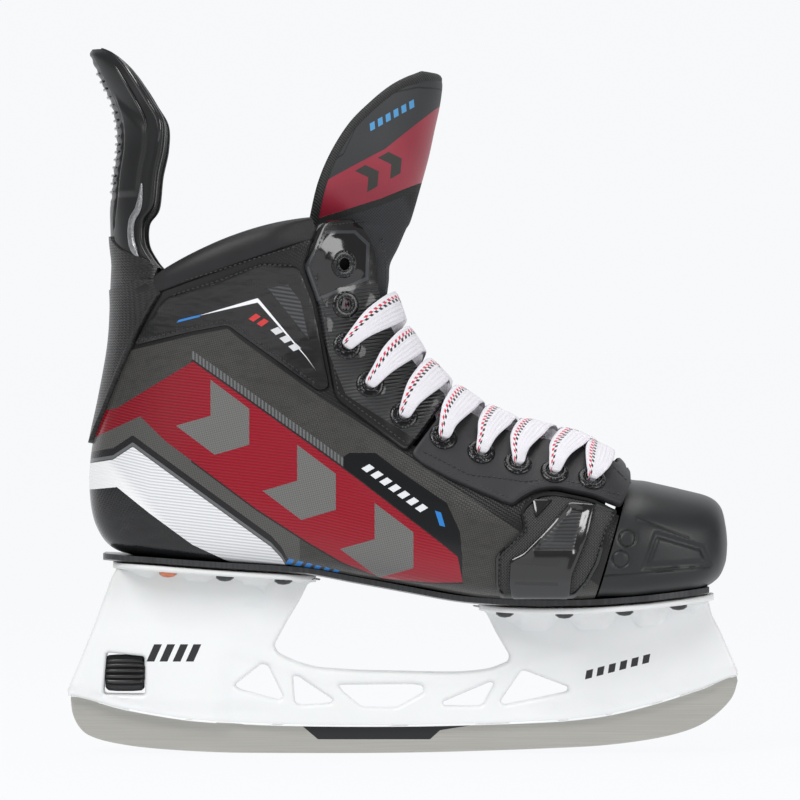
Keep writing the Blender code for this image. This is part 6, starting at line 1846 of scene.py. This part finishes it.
# ---------------------------------------------------------------- add-on
class SkateStageSettings(bpy.types.PropertyGroup):
    """Light, floor and framing of the stage."""
    frame_width: bpy.props.FloatProperty(
        name="Frame Width", description="Width that the camera sees at the skate", default=0.352,
        unit="LENGTH")
    key_power: bpy.props.FloatProperty(
        name="Key Power", description="Power of the main lamp", default=31.0, unit="POWER")
    ambient: bpy.props.FloatProperty(
        name="Ambient", description="Strength of the light from all round", default=0.3)
    floor_glow: bpy.props.FloatProperty(
        name="Floor Glow", description="Light given off by the floor", default=0.965)
    floor_colour: bpy.props.FloatVectorProperty(
        name="Floor Colour", description="Display colour of the floor, 0 to 255",
        default=(248.0, 249.0, 251.0), size=3)


def operator(idname, label, doc, work):
    """An operator class that runs some build functions in order."""
    def execute(self, context):
        for build in work:
            build()
        return {"FINISHED"}

    return type(idname.replace(".", "_OT_").upper(), (bpy.types.Operator,),
                {"__doc__": doc, "bl_idname": idname, "bl_label": label, "execute": execute})


class SKATE_OT_stage(bpy.types.Operator):
    """Adds the floor, the lamps and the camera."""
    bl_idname = "skate.stage"
    bl_label = "Stage"

    def execute(self, context):
        build_stage(context.scene.skate_stage)
        return {"FINISHED"}


OPERATORS = (
    operator("skate.boot", "Boot", "Builds the toe cap, quarter, lining, collar and outsole.",
             (build_toe_cap, build_quarter, build_lining, build_collar, build_heel_strap, build_outsole)),
    operator("skate.leathers", "Leathers", "Builds the facings, ankle wraps and side panels.",
             (build_facings, build_wraps, build_side_panels)),
    operator("skate.eyelets", "Eyelets", "Builds the eyelets.", (build_eyelets,)),
    operator("skate.tongue", "Tongue", "Builds the felt tongue and its binding.", (build_tongue,)),
    operator("skate.lace", "Lace", "Builds the flat lace.", (build_lace,)),
    operator("skate.guard", "Tendon Guard", "Builds the tendon guard and its pad.",
             (build_guard, build_guard_root)),
    operator("skate.holder", "Blade Holder", "Builds the blade holder.", (build_holder,)),
    operator("skate.rivets", "Rivets", "Builds the rivets.", (build_rivets,)),
    operator("skate.runner", "Runner", "Builds the steel runner.", (build_runner,)),
    operator("skate.lock", "Lock", "Builds the lock wheel and bolt.", (build_lock,)),
    operator("skate.stitches", "Stitches", "Builds the seams' stitches.", (build_stitches,)),
    SKATE_OT_stage,
)


class SKATE_PT_panel(bpy.types.Panel):
    """Lists the skate's builders."""
    bl_idname = "SKATE_PT_panel"
    bl_label = "Ice Hockey Skate"
    bl_space_type = "VIEW_3D"
    bl_region_type = "UI"
    bl_category = "Skate"

    def draw(self, context):
        for made in OPERATORS:
            self.layout.operator(made.bl_idname)
        for name in ("frame_width", "key_power", "ambient", "floor_glow", "floor_colour"):
            self.layout.prop(context.scene.skate_stage, name)


CLASSES = (SkateStageSettings, *OPERATORS, SKATE_PT_panel)


def register():
    """Adds the operators, the panel and the stage's settings."""
    for made in CLASSES:
        bpy.utils.register_class(made)
    bpy.types.Scene.skate_stage = bpy.props.PointerProperty(type=SkateStageSettings)


def unregister():
    """Takes away all that register adds."""
    del bpy.types.Scene.skate_stage
    for made in reversed(CLASSES):
        bpy.utils.unregister_class(made)


def main():
    """Builds every piece and writes the sizes of the frame and of the result."""
    register()
    for made in OPERATORS:
        group, name = made.bl_idname.split(".")
        getattr(getattr(bpy.ops, group), name)()


if __name__ == "__main__":
    main()
